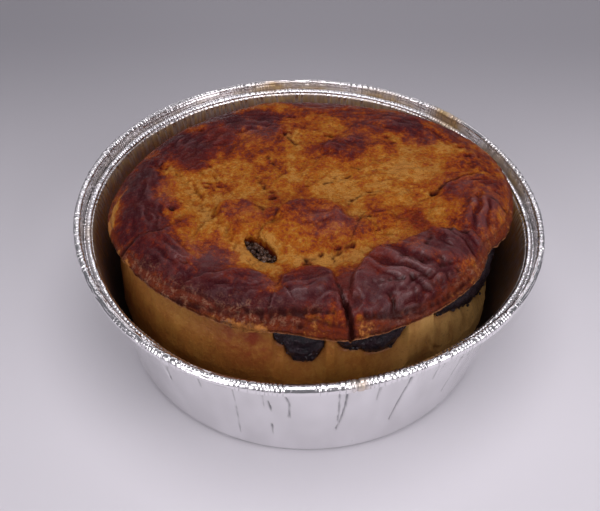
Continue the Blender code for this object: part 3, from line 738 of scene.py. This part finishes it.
def lidTop(x, y):
    degrees, distance = polar(*tinToLid(x, y))
    share = np.minimum(distance / lidEdge(degrees), 1)
    dome = lid["shoulder"] * (1 - share**10) + lid["crown"] * (1 - share**2)
    size, height = lid["ripple"]
    ripple = height * rough(size, x, y)
    fade = 1 - smooth(share, 0.9, 1)
    return lidPlane(x, y) + dome + fade * (blobs(lid["swellings"], degrees, distance) + ripple)


def lidUnder(x, y):
    degrees, distance = polar(*tinToLid(x, y))
    share = distance / lidEdge(degrees)
    hollow = lid["shoulder"] + lid["crown"] - lid["thick"] + 0.5 * lid["edgeThick"]
    return lidPlane(x, y) - 0.5 * lid["edgeThick"] + hollow * (1 - smooth(share, 0.2, 0.84))


def turned(x, y, direction):  # along this direction and across it
    turn = math.radians(direction)
    return x * math.cos(turn) + y * math.sin(turn), y * math.cos(turn) - x * math.sin(turn)


def patches(name, x, y, sharpness=1.2):  # the ovals of one of the tables above
    total = 0
    for px, py, halfLength, halfWidth, direction, amount in lid[name]:
        along, across = turned(x - px, y - py, direction)
        far = (along / halfLength) ** 2 + (across / halfWidth) ** 2
        total = total + amount * np.exp(-(far**sharpness))
    return total


def ledgeHeight(x, y):
    height = 0
    for rise, width, reach, line in lid["ledges"]:
        off, side = fromLine(x, y, line)
        off = off * side + 0.35 * rough(1.8, x, y, 3)
        ends = np.minimum(*(np.hypot(x - px, y - py) for px, py in (line[0], line[-1])))
        step = smooth(off, -width, width) * hump(np.maximum(off, 0), 0, reach)
        height = height + rise * step * smooth(ends, 0, 3.5)
    return height


def puckerHeight(x, y):
    height = np.zeros(np.shape(x))
    bend = 0.5 * rough(4, x, y, 40)
    for index, (px, py, halfLength, halfWidth, direction, rise, width) in enumerate(lid["puckers"]):
        along, across = turned(x - px, y - py, direction)
        share = np.exp(-(((along / halfLength) ** 2 + (across / halfWidth) ** 2) ** 1.6))
        near = share > 0.01  # the noise is worked out only where it shows
        across, along = across[near] / width + bend[near], along[near] / (3.5 * width)
        folds = rough(1, across, along, 3 * index)
        folds = folds + 0.5 * rough(1, 2.3 * across, 1.8 * along, 3 * index + 1.5)
        height[near] += rise * share[near] * (folds - 0.4 * np.abs(folds))
    return height


def creaseDepth(x, y):  # how deep the folds are, and how dark their painted shade is
    depth, dark = 0, 0
    wander = 0.35 * rough(1.5, x, y, 12)
    broken = np.clip(0.75 + 1.1 * rough(1.1, x, y, 15), 0.15, 1.3)
    for deep, wide, line in lid["creases"]:
        off = np.abs(fromLine(x, y, line)[0] + wander)
        deep = deep * (broken if deep < 1.5 else 1)  # only the crack at the front is whole
        depth = depth + deep * hump(off, 0, wide)
        if wide < 1.2:
            dark = dark + deep * hump(off, 0, wide + 0.15)
    return depth, dark


def pitDepth(x, y):  # how deep the holes are, how dark their painted shade is, and how red round them
    depth, dark, stained = 0, 0, 0
    bentX, bentY = x + 0.7 * rough(1.3, x, y, 20), y + 0.5 * rough(1.3, x, y, 24)
    for px, py, size, deep in lid["pits"]:
        off = np.hypot(0.85 * (bentX - px), 1.2 * (bentY - py)) / size
        depth = depth + 0.75 * deep * smooth(off, 1.3, 0.2)
        dark = np.maximum(dark, min(1, 0.42 * deep) * smooth(off, 1.1, 0.3))
        stained = np.maximum(stained, min(1, 0.8 * deep) * smooth(off, 2, 0.8))
    return depth, dark, stained


def ventShare(x, y):  # 1 on the outline of the steam slit
    along, across = turned(x - lid["ventPlace"][0], y - lid["ventPlace"][1], lid["ventTurn"])
    halfLength, halfWidth = lid["ventHalf"]
    return np.hypot(along / halfLength, across / (halfWidth * (1 + 0.08 * along / halfLength)))


def discGrid(cells):  # a square grid bent into a disc, so that its cells stay even
    line = np.linspace(-1, 1, cells + 1)
    a, b = np.meshgrid(line, line)
    sideways = np.abs(a) > np.abs(b)
    ring = np.where(sideways, a, b)
    other = np.where(sideways, b, a)
    slant = 0.25 * math.pi * other / np.where(ring == 0, 1, ring)
    angle = np.where(sideways, slant, 0.5 * math.pi - slant)
    # the cells are finer toward the edge
    spread = 0.70 * np.abs(ring) + 0.30 * np.sin(0.5 * math.pi * np.abs(ring))
    return np.sign(ring) * spread * np.cos(angle), np.sign(ring) * spread * np.sin(angle)


def blurred(values, reach):  # averaged over this many cells of the grid to each side
    weights = np.hanning(2 * reach + 3)[1:-1]
    weights = weights / weights.sum()
    padded = np.pad(values, reach, "edge")
    padded = np.apply_along_axis(np.convolve, 0, padded, weights, "valid")
    return np.apply_along_axis(np.convolve, 1, padded, weights, "valid")


def edgeSteps(degrees, share):
    # the two broken layers near the edge, the painted shade of the seam at their feet, and how far this is
    # at the front
    start = np.interp(degrees, *zip(*lid["edgeBand"])) + 0.012 * rough(1, 0.15 * degrees, 0, 3)
    start = start + 0.006 * rough(1, 0.6 * degrees, 0, 7)
    inner = 0.45 * start + 0.55 + 0.006 * rough(1, 0.35 * degrees, 0, 11)
    front = nearTurn(degrees, *lid["front"])
    seam = front * (hump(share, start - 0.003, 0.006) + 0.6 * hump(share, inner, 0.004))
    seam = seam * unit(0.7 + 1.2 * rough(1, 0.4 * degrees, share * 20, 14))
    edge, second = smooth(share, start - 0.008, start + 0.006), smooth(share, inner - 0.005, inner + 0.004)
    return edge, second, seam, front


def sway(x, y, seed):  # moves the colours' outlines about, so that no patch is a plain oval
    return 1.5 * rough(5, x, y, seed) + rough(1.9, x, y, seed + 2)


def lidSurface(x, y):
    degrees, distance = polar(x, y)
    share = distance / lidEdge(degrees)
    skin = sum(rise * rough(size, x, y, 2 * size) for size, rise in lid["skin"])
    skin = skin * (1 - 0.5 * unit(patches("bloom", x, y)))
    puckers, crackle, flaky = puckerHeight(x, y), patches("crackle", x, y), unit(patches("flakes", x, y))
    layers = rough(1, distance / 0.75, 0.4 * degrees, 4)
    layers = layers + 0.6 * rough(1, distance / 1.8, 1.2 * degrees, 9)
    (creases, darkCreases), (pits, darkPits, stained) = creaseDepth(x, y), pitDepth(x, y)
    edge, second, seam, front = edgeSteps(degrees, share)
    fade = 1 - 0.7 * smooth(share, 0.95, 1)
    cracked = rough(0.9, x, y, 4)
    height = fade * (skin + puckers + 1.3 * ledgeHeight(x, y))
    height = lidTop(*lidToTin(x, y)) + height
    height = height + 0.28 * crackle * (np.abs(cracked) - 0.4) + 0.22 * flaky * layers
    centre, half, rise = lid["lift"]
    lifted = rise * np.exp(-((turnFrom(degrees, centre) / half) ** 4)) * smooth(share, 0.86, 1)
    height = height - pits - creases * (1 - 0.3 * edge) + lifted
    height = height - (0.20 + 0.35 * front) * edge - 0.28 * front * second
    vent = ventShare(x, y)
    height = height - 0.7 * hump(vent, 0.9, 0.35) + 0.3 * hump(vent, 1.7, 0.35)
    warpX, warpY = x + sway(x, y, 31), y + sway(x, y, 35)
    tone = 0.31 + 0.11 * smooth(share, 0.70, 0.9) + patches("browning", warpX, warpY, 2.2)
    tone = tone + sum(amount * rough(size, x, y, seed) for size, seed, amount in lid["mottle"])
    # painted light on the crests of the puckers and painted shade in their valleys; lighter on the skin's
    # bumps, browner round the holes
    tone = tone - 0.16 * skin - 0.18 * puckers + 0.14 * stained
    tone = tone + 0.20 * rough(lid["ripple"][0], warpX, warpY, 60)
    # raised places brown first; painted shade darkens the narrow hollows and the feet of the blisters, and
    # painted light brightens the small crests
    within = smooth(share, 0.97, 0.93)
    lumps = within * np.clip(height - blurred(height, 16), -0.8, 0.8)
    hollowShadeAndCrestLight = within * np.clip(height - blurred(height, 4), -0.5, 0.4)
    tone = tone + 0.22 * lumps - 0.45 * hollowShadeAndCrestLight
    redness = patches("redness", warpX, warpY) + 0.35 * rough(5, x, y, 50) + 0.7 * stained
    # painted sheen of the glaze, strongest on the crests of the puckers and skin and on small crests in dark
    # places; the same mark sets the glaze's gloss
    bloom = patches("bloom", warpX, warpY) * (0.6 + 2 * puckers + 1.4 * skin)
    bloom = bloom + 1.2 * np.maximum(hollowShadeAndCrestLight, 0) * smooth(tone, 0.5, 0.8)
    # deep: painted shade in the creases, the holes, the seam at the edge layers and the narrow hollows; it
    # also darkens part of the crackled skin
    deep = darkCreases * 1.5 + darkPits + 0.75 * seam - 1.3 * np.minimum(hollowShadeAndCrestLight + 0.04, 0)
    deep = deep + 0.5 * crackle * (cracked > 0.1)
    return height, {
        "browning": tone,
        "redness": unit(redness),
        "bloom": unit(bloom),
        "edge": 0.5 * edge + 0.08 * second,
        "flake": flaky * (0.15 + 0.85 * smooth(layers, 0, 0.35)),
        "deep": unit(deep),
    }


def makeLid():
    unitX, unitY = discGrid(lid["cells"])
    degrees, reach = polar(unitX, unitY)
    x, y = polarPoint((0, 0), degrees, reach * lidEdge(degrees))
    z, marks = lidSurface(x, y)
    top = np.stack([*lidToTin(x, y), z], -1)

    def around(values):
        return np.concatenate([values[0, :-1], values[:-1, -1], values[-1, :0:-1], values[:0:-1, 0]])

    rim = around(top)
    degrees, distance = polar(*tinToLid(rim[:, 0], rim[:, 1]))
    uneven = 1 + 0.15 * rough(1, degrees * 0.35, 0, 5)
    droop = blobs(lid["droop"], degrees, distance)
    rows = [rim]
    for step, (out, down) in enumerate(lid["layers"]):
        flaky = 0.24 * rough(1, degrees * 0.5, step * 0.9, 2)
        px, py = polarPoint(lid["axis"], degrees, distance + out + flaky)
        level = rim[:, 2] + down * uneven - droop * (step + 1) / len(lid["layers"])
        rows.append(np.stack([px, py, level], -1))
    for share in (0.93, 0.84, 0.7, 0.5, 0.3, 0.12, 0):
        px, py = polarPoint(lid["axis"], degrees, distance * share)
        sag = droop * smooth(share, 0.84, 0.97)
        rows.append(np.stack([px, py, lidUnder(px, py) - sag], -1))
    side = np.stack(rows)
    sideMarks = {name: np.broadcast_to(around(values), side.shape[:2]) for name, values in marks.items()}
    down = np.arange(len(rows))[:, None]
    sideMarks["deep"] = sideMarks["deep"] * smooth(down, 6, 1)
    sideMarks["edge"] = 0.5 + 0.5 * unit(down / 7)
    cutVent(addPiece("pieLid", "pastry_lid", crustFinish, [(top, False, marks), (side, True, sideMarks)]))


def cutVent(piece):  # opens the steam slit down to the filling, with a wall whose painted shade darkens downward
    east, north = lidToTin(*lid["ventPlace"])
    shape = bmesh.new()
    shape.from_mesh(piece.data)
    shares = {}
    for vertex in shape.verts:
        x, y, z = vertex.co / mm
        if abs(x - east) < 8 and abs(y - north) < 8 and z > lidUnder(x, y) + 1.5:
            shares[vertex] = float(ventShare(*tinToLid(x, y)))
    inside = [face for face in shape.faces if any(shares.get(vertex, 9) < 1 for vertex in face.verts)]
    bmesh.ops.delete(shape, geom=inside, context="FACES")
    ring = [edge for edge in shape.edges if edge.is_boundary]

    def widen(vertex, share):
        vertex.co.x = east * mm + share * (vertex.co.x - east * mm)
        vertex.co.y = north * mm + share * (vertex.co.y - north * mm)

    for vertex in {vertex for edge in ring for vertex in edge.verts}:
        widen(vertex, 1 / shares[vertex])
    deep, tone = shape.verts.layers.float["deep"], shape.verts.layers.float["browning"]
    count, drop = lid["ventSteps"]
    for step in range(count):
        made = bmesh.ops.extrude_edge_only(shape, edges=ring)["geom"]
        ring = [item for item in made if isinstance(item, bmesh.types.BMEdge)]
        for vertex in (item for item in made if isinstance(item, bmesh.types.BMVert)):
            widen(vertex, 1.02 - 0.05 * noise.noise(vertex.co / mm * 0.9))
            vertex.co.z -= drop * mm
            vertex[deep], vertex[tone] = 0.12 * step, 0.30 + 0.08 * step
    shape.to_mesh(piece.data)
    shape.free()
    piece.data.shade_smooth()


def crustMaterial():
    material, place = newFinish("glazed crust")
    tone = place.mark("browning")
    redness, bloom = place.mark("redness"), place.mark("bloom")
    edge, flake, deep = place.mark("edge"), place.mark("flake"), place.mark("deep")
    mottle = place.cloud(1.6, 5, 0.7)
    broad = place.cloud(5, 3, 0.5)
    fine = place.cloud(0.45, 3)
    speck = place.cloud(0.8, 3, 0.6)
    tone = tone + (mottle - 0.5) * 0.64 + (broad - 0.5) * 0.16 + (speck - 0.5) * 0.66
    glaze = tone.colours((
        (0, (0.48, 0.21, 0.04)), (0.16, (0.4, 0.14, 0.012)), (0.32, (0.35, 0.088, 0.005)),
        (0.48, (0.27, 0.046, 0.003)), (0.64, (0.155, 0.016, 0.003)), (0.82, (0.078, 0.005, 0.006)),
        (1, (0.043, 0.002, 0.005)),
    ))
    lip = (edge + (mottle - 0.5) * 0.16).colours((
        (0.42, (0.075, 0.009, 0.004)), (0.52, (0.15, 0.02, 0.005)), (0.64, (0.06, 0.01, 0.005)),
        (0.72, (0.18, 0.036, 0.009)), (0.79, (0.15, 0.04, 0.016)), (0.87, (0.4, 0.16, 0.07)),
        (0.94, (0.52, 0.22, 0.095)), (1, (0.42, 0.175, 0.08)),
    ))
    cracks = place.cells(3.2, "DISTANCE_TO_EDGE").rise(0.05, 0) * broad.rise(0.52, 0.62)
    dots = fine.rise(0.56, 0.72) * edge.rise(0.35, 0.05)
    return fillIn(material, {
        "Base Color": layered(glaze, (
            (redness * (0.3 + mottle * 0.8), (0.2, 0.018, 0.003)),
            # painted grey sheen of the glaze
            (bloom * (0.2 + mottle * 0.7), (0.215, 0.073, 0.072)),
            (cracks * 0.45, (0.12, 0.02, 0.004)),
            (dots * tone.rise(0.8, 0.45) * 0.45, (0.42, 0.17, 0.05)),
            (dots * tone.rise(0.5, 0.8) * 0.4, (0.16, 0.052, 0.038)),
            (fine.rise(0.44, 0.28) * 0.42, (0.05, 0.006, 0.003)),
            (edge.rise(0, 0.5) * (0.45 + mottle * 0.7), lip),
            (edge.rise(0.3, 0.55) * tone.rise(0.35, 0) * 0.85, (0.5, 0.19, 0.045)),
            (speck.rise(0.56, 0.7) * 0.4, (0.15, 0.045, 0.04), "LIGHTEN"),
            (flake * fine.rise(0.38, 0.58) * 0.85, (0.3, 0.14, 0.08)),
            # painted shade from the deep mark
            (deep * 0.9, (0.03, 0.004, 0.003)),
        )),
        "Roughness": 0.40 + 0.24 * (mottle - 0.5) + 0.16 * edge - 0.06 * redness + 0.4 * deep,
        "Specular IOR Level": 0.08,
        "Coat Weight": (tone.rise(0.48, 0.80) * 0.06 + bloom * 0.70) * (0.4 + mottle),
        "Coat Roughness": 0.29,
        "Normal": place.bump(fine * 0.6 + mottle + speck, 0.42, 1),
    })


crustFinish = crustMaterial()
makeLid()


# Pastry case
case = {
    "axis": (-0.2, 1.6),
    "floor": 1.3,
    "footRadius": 46.8,
    "bellyRadius": 51.5,
    "backInset": 1.5,  # how much flatter the belly is at the back
    "topRadius": 49.2,
    "wall": 4.6,
    "upright": 18,
    "seam": 0.6,
    "gap": 0.3,
    "waves": ((2, 0.28, 0.41), (5, 0, 0.30)),
    # where the filling has pushed out: angle, half width in degrees, height of the edge, how far proud
    "leaks": (
        (-96.5, 2.8, 37.5, 0.4), (-90.5, 6.2, 32, 1), (-75.5, 6.4, 34.8, 0.8), (-68, 8, 32.2, 1.1),
        (-43, 8, 34.6, 1), (-36, 8, 31.6, 1.5), (-29, 9, 29, 1.9), (-20, 10, 25.8, 2.2),
        (-7, 12, 22, 2.4),
    ),
    "columns": 1080,
    "girth": 50,  # radius at which lengths along the wall are measured
    # low bumps: fineness round the wall, size up it, height
    "lumps": ((9, 9, 0.28), (24, 3.5, 0.12), (60, 1.2, 0.05)),
    "crackDepth": 0.5,
    "crackWidth": 0.4,
    # angle and height along the crack
    "crack": ((-53.5, 31.6), (-51.8, 29), (-50.5, 27.8), (-47.8, 25.3)),
    # reddened places: angle, radius, half length, half width, amount
    "blush": ((-105, 50, 8, 40, 1), (-117, 50, 5, 40, 0.35), (-40, 50, 10, 40, 0.3)),
}


def closedHeight(degrees):  # of the lid's underside over the wall
    return lidUnder(*polarPoint(case["axis"], degrees, case["topRadius"] - 0.5 * case["wall"]))


def caseEdge(degrees):  # its height, lower at the leaks
    closed = closedHeight(degrees) - case["seam"]
    edge = closed
    for centre, half, bottom, proud in case["leaks"]:
        share = np.minimum(np.abs(turnFrom(degrees, centre)) / half, 1)
        edge = np.minimum(edge, closed + (bottom - closed) * np.sqrt(1 - share**3))
    return edge


def leakProud(degrees):  # how far the filling stands out of the wall
    proud = 0
    for centre, half, bottom, height in case["leaks"]:
        proud = np.maximum(proud, height * nearTurn(degrees, centre, half))
    return proud


def sectionRows(section, counts, columns):
    # section: (radius, height) from the middle outward and back; counts: rows from each to the next
    rows = []
    for (r0, z0), (r1, z1), count in zip(section, section[1:], counts):
        for step in range(count):
            share = step / count
            rows.append((r0 + share * (r1 - r0), z0 + share * (z1 - z0)))
    rows.append(section[-1])
    return [np.stack([np.broadcast_to(values, columns) for values in part]) for part in zip(*rows)]


def makeCase():
    degrees = allRound(case["columns"])
    closed, wave = closedHeight(degrees), waves(case["waves"], degrees)
    broken = smooth(closed - caseEdge(degrees), 0.9, 3)
    torn = broken * (0.35 * rough(1, degrees * 0.55, 0, 1) + 0.2 * rough(1, degrees * 1.6, 0, 4))
    edge = caseEdge(degrees) + torn
    inner, top = case["topRadius"] - case["wall"] + wave, case["topRadius"] + wave
    inset = case["backInset"] * np.maximum(np.sin(np.radians(degrees)), 0) ** 2
    belly, foot, flat = case["bellyRadius"] + wave - inset, case["footRadius"], case["floor"]
    section = [
        (0, flat + case["wall"]),
        (foot - case["wall"], flat + case["wall"]),
        (inner, case["upright"]),
        (inner, edge),
        (top - 1, edge),
        (top - 0.25, edge - 0.4),
        (top, edge - 1.2),
        (belly - 1, 0.85 * edge),
        (belly, np.minimum(0.65 * closed, 0.72 * edge)),
        (belly - 0.5 * wave, np.minimum(0.40 * closed, 0.55 * edge)),
        (foot + 2.2 - 0.5 * inset, 7.5),
        (foot, flat + 2.2),
        (foot - 2.6, flat),
        (0, flat),
    ]
    radius, height = sectionRows(section, (1, 3, 4, 3, 2, 2, 9, 10, 10, 6, 3, 2, 1), case["columns"])
    outer = smooth(radius, 0.9 * foot, foot)
    lumps = sum(rise * ringRough(fineness, degrees, height / size) for fineness, size, rise in case["lumps"])
    line = [(case["girth"] * math.radians(angle), level) for angle, level in case["crack"]]
    crack = fromLine(case["girth"] * np.radians(degrees), height, line)[0]
    crack = case["crackDepth"] * hump(crack, 0, case["crackWidth"])
    lip = 0.5 * broken * hump(edge - height, 0, 1.6) * (0.6 + rough(1, degrees * 0.4, height * 0.5))
    radius = np.maximum(radius + outer * (lumps - crack + 0.3 * lip), 0)
    x, y = polarPoint(case["axis"], degrees, radius)
    blush = blobs(case["blush"], degrees, case["girth"]) * smooth(height, 20, 40)
    marks = {"blush": blush, "torn": broken * hump(edge - height, 0, 1.1) * outer}
    addPiece("pieCase", "pastry_case", caseFinish, [(np.stack([x, y, height], -1), True, marks)])


def caseMaterial():
    material, place = newFinish("baked case")
    blush, torn = place.mark("blush"), place.mark("torn")
    mottle = place.cloud(5, 4, 0.6)
    fine = place.cloud(0.7, 4)
    drips = place.stretched(1, 1, 0.25).cloud(3, 3)
    grain = place.cloud(1.1, 4, 0.7)
    return fillIn(material, {
        "Base Color": layered((0.345, 0.122, 0.02), (
            (mottle.rise(0.3, 0.7), (0.41, 0.18, 0.031)),
            (place.part("X").rise(0.012, 0.045), (0.78, 0.49, 0.165)),  # painted light: paler toward the right
            (drips.rise(0.45, 0.75) * 0.5, (0.28, 0.086, 0.015)),
            (grain.rise(0.5, 0.68) * 0.45, (0.46, 0.245, 0.05)),
            (grain.rise(0.46, 0.3) * 0.45, (0.18, 0.057, 0.012)),
            ((blush * mottle.rise(0.35, 0.6)).maths("MINIMUM", 1), (0.235, 0.037, 0.009)),
            (torn * 0.6, (0.2, 0.05, 0.014)),
        )),
        "Roughness": 0.52 + 0.2 * (fine - 0.5),
        "Normal": place.bump(fine + mottle + grain * 1.5, 0.22, 0.7),
    })


caseFinish = caseMaterial()
makeCase()


# Filling: the body that runs through the case, and the grains that show on it
filling = {
    "columns": 960,
    "grains": 320,
    "ventGrains": 130,
    "grainSize": (0.30, 0.75),
    "ventGrainSize": (0.55, 1.25),
    "seed": 7,
}


def makeFilling():
    degrees = allRound(filling["columns"])
    edge, wave = caseEdge(degrees), waves(case["waves"], degrees)
    top = closedHeight(degrees) - case["gap"]
    plug = case["topRadius"] - case["wall"] + wave - case["gap"]
    leaking = smooth(top - edge, 1.5 * case["seam"], 5 * case["seam"])
    lip = edge + case["gap"] * (0.5 + 0.5 * leaking)
    out = leaking * (case["topRadius"] + wave + leakProud(degrees) - plug)
    foot = case["floor"] + case["wall"] + case["gap"]
    section = []
    for share in (0, 0.2, 0.4, 0.6, 0.7, 0.8, 1):
        radius = (plug - 1.5) * share
        section.append((radius, lidUnder(*polarPoint(case["axis"], degrees, radius)) - case["gap"]))
    section.append((plug + 0.75 * out, top))
    for share, reach in ((0.35, 0.98), (0.7, 1), (1, 0.85)):
        section.append((plug + reach * out, top + share * (lip - top)))
    section += [(plug, lip), (plug, case["upright"])]
    section += [(case["footRadius"] - case["wall"] - case["gap"], foot), (0, foot)]
    radius, height = sectionRows(section, (2, 2, 3, 3, 3, 2, 3, 7, 7, 6, 2, 2, 2, 1), filling["columns"])
    shown = leaking * smooth(radius, plug, plug + 1.5)
    grainy = 0.50 * ringRough(20, degrees, height / 2.6)
    grainy = grainy + 0.50 * np.abs(ringRough(44, degrees, height / 1.2))
    grainy = grainy + 0.30 * ringRough(75, degrees, height / 0.75)
    x, y = polarPoint(case["axis"], degrees, radius + shown * grainy)
    addPiece("pieFilling", "filling", fillingFinish, [(np.stack([x, y, height], -1), True, {})])


def grainPlaces(dice):
    while True:
        centre, half, bottom, proud = dice.choice(case["leaks"])
        degrees = centre + half * dice.uniform(-1, 1)
        edge, roof = float(caseEdge(degrees)), float(closedHeight(degrees))
        if roof - edge < 1.5:
            continue
        height = dice.uniform(edge + 0.3, roof - 0.9)
        out = case["topRadius"] + float(waves(case["waves"], degrees)) + float(leakProud(degrees))
        x, y = polarPoint(case["axis"], degrees, out - dice.uniform(0.3, 1.1))
        yield Vector((x, y, height))


def ventPlaces(dice):
    while True:
        x = lid["ventPlace"][0] + dice.uniform(-6.5, 6.5)
        y = lid["ventPlace"][1] + dice.uniform(-6.5, 6.5)
        if ventShare(x, y) < 1.2:
            x, y = lidToTin(x, y)
            yield Vector((x, y, float(lidUnder(x, y)) + 0.8 + 2.6 * dice.random()))


def addGrains(name, finish, places, count, sizes, dice):
    shape = bmesh.new()
    low, high = sizes
    for index in range(count):
        size = low + (high - low) * dice.random() ** 2.2
        turn = Matrix.Rotation(dice.uniform(0, 6.3), 4, Vector((dice.random(), dice.random(), 1)))
        squash = Matrix.Diagonal((1, dice.uniform(0.6, 0.95), dice.uniform(0.5, 0.9), 1))
        middle = next(places) * mm
        spot = Matrix.Translation(middle) @ turn @ squash
        made = bmesh.ops.create_icosphere(shape, subdivisions=2, radius=size * mm, matrix=spot)
        for vertex in made["verts"]:
            vertex.co = middle + (vertex.co - middle) * (1 + 0.7 * noise.noise(vertex.co / mm * 1.3))
    mesh = bpy.data.meshes.new(name)
    shape.to_mesh(mesh)
    shape.free()
    settle(name, mesh, "filling", finish)


def fillingMaterial(name, dark, light):
    material, place = newFinish(name)
    mottle = place.cloud(2.4, 4)
    fine = place.cloud(0.5, 3)
    specks = place.cloud(0.28, 2)
    colour = (mottle * 0.45 + fine * 0.25 + specks * 0.3).rise(0.42, 0.62).mix(dark, light)
    return fillIn(material, {
        "Base Color": colour,
        "Roughness": 0.24 + 0.30 * fine,
        "Coat Weight": 0.6 * mottle,
        "Coat Roughness": 0.15,
        "Normal": place.bump(fine + mottle + specks * 0.8, 0.45, 0.9),
    })


fillingFinish = fillingMaterial("dark filling", (0.006, 0.004, 0.009), (0.040, 0.020, 0.030))
ventFinish = fillingMaterial("baked filling", (0.05, 0.021, 0.013), (0.19, 0.095, 0.055))
makeFilling()
dice = random.Random(filling["seed"])
addGrains("fillingGrains", fillingFinish, grainPlaces(dice), filling["grains"], filling["grainSize"], dice)
addGrains("ventGrains", ventFinish, ventPlaces(dice), filling["ventGrains"], filling["ventGrainSize"], dice)


# Floor, light and camera
stage = {
    "floorSize": 3,
    "floorTone": (0.735, 0.715, 0.755),
    "paintedFalloffTone": (0.15, 0.146, 0.17),
    "world": (0.92, 0.92, 1),
    "worldStrength": 0.13,
    "lampTone": (1, 0.96, 1),
    # place in metres, width and height, power
    "lights": {
        "softOver": ((0.02, -0.06, 0.50), (0.32, 0.32), 0.93),
        "softLeft": ((-0.42, -0.38, 0.36), (0.50, 0.50), 1.48),
        "softRight": ((0.44, -0.38, 0.36), (0.50, 0.50), 1.98),
        "softBack": ((0, 0.60, 0.40), (1.50, 0.30), 1.15),
    },
    "cameraTarget": (-1.83, -17.26, 39.1),
    "cameraDistance": 272.1,
    "cameraRise": 43.7,
    "cameraRoll": 0.9,
    "lens": 63,
}


def makeFloor():
    mesh = bpy.data.meshes.new("floor")
    far = 0.5 * stage["floorSize"]
    corners = [(-far, -far, 0), (far, -far, 0), (far, far, 0), (-far, far, 0)]
    mesh.from_pydata(corners, [], [(0, 1, 2, 3)])
    floor = addObject("floor", mesh)
    material, place = newFinish("pale board")
    colour = layered(stage["floorTone"], (
        (0.04 * place.cloud(60), (0.6, 0.6, 0.62)),
        (place.part("Y").rise(0, 0.16) * 0.7, stage["paintedFalloffTone"]),  # painted shade: the board darkens to the back, where less light falls
        (place.part("X").rise(-0.02, -0.13) * 0.17, stage["paintedFalloffTone"]),  # and, as painted shade, to the left
    ))
    mesh.materials.append(fillIn(material, {"Base Color": colour, "Roughness": 0.6}))


def makeLights():
    world = bpy.data.worlds.new("studio")
    bpy.context.scene.world = world
    world.use_nodes = True
    glow = world.node_tree.nodes["Background"].inputs
    glow["Color"].default_value = paint(stage["world"])
    glow["Strength"].default_value = stage["worldStrength"]
    for name, (place, size, power) in stage["lights"].items():
        lamp = bpy.data.lights.new(name, "AREA")
        lamp.shape = "ELLIPSE"
        lamp.size, lamp.size_y = size
        lamp.energy, lamp.color = power, stage["lampTone"]
        light = addObject(name, lamp)
        light.location = place
        light.visible_camera = False
        light.rotation_euler = (-Vector(place)).to_track_quat("-Z", "Y").to_euler()


def makeCamera():
    camera = addObject("camera", bpy.data.cameras.new("camera"))
    rise, roll = math.radians(stage["cameraRise"]), math.radians(stage["cameraRoll"])
    back = Vector((0, -math.cos(rise), math.sin(rise)))
    right = Vector((1, 0, 0))
    up = back.cross(right)
    right, up = math.cos(roll) * right + math.sin(roll) * up, math.cos(roll) * up - math.sin(roll) * right
    turn = Matrix((right, up, back)).transposed().to_4x4()
    place = Vector(stage["cameraTarget"]) + stage["cameraDistance"] * back
    camera.matrix_world = Matrix.Translation(place * mm) @ turn
    camera.data.lens = stage["lens"]
    camera.data.clip_start = 0.01
    bpy.context.scene.camera = camera


makeFloor()
makeLights()
makeCamera()
bpy.context.scene.view_settings.view_transform = "Standard"
print("stage: floor, lights and camera are in place")
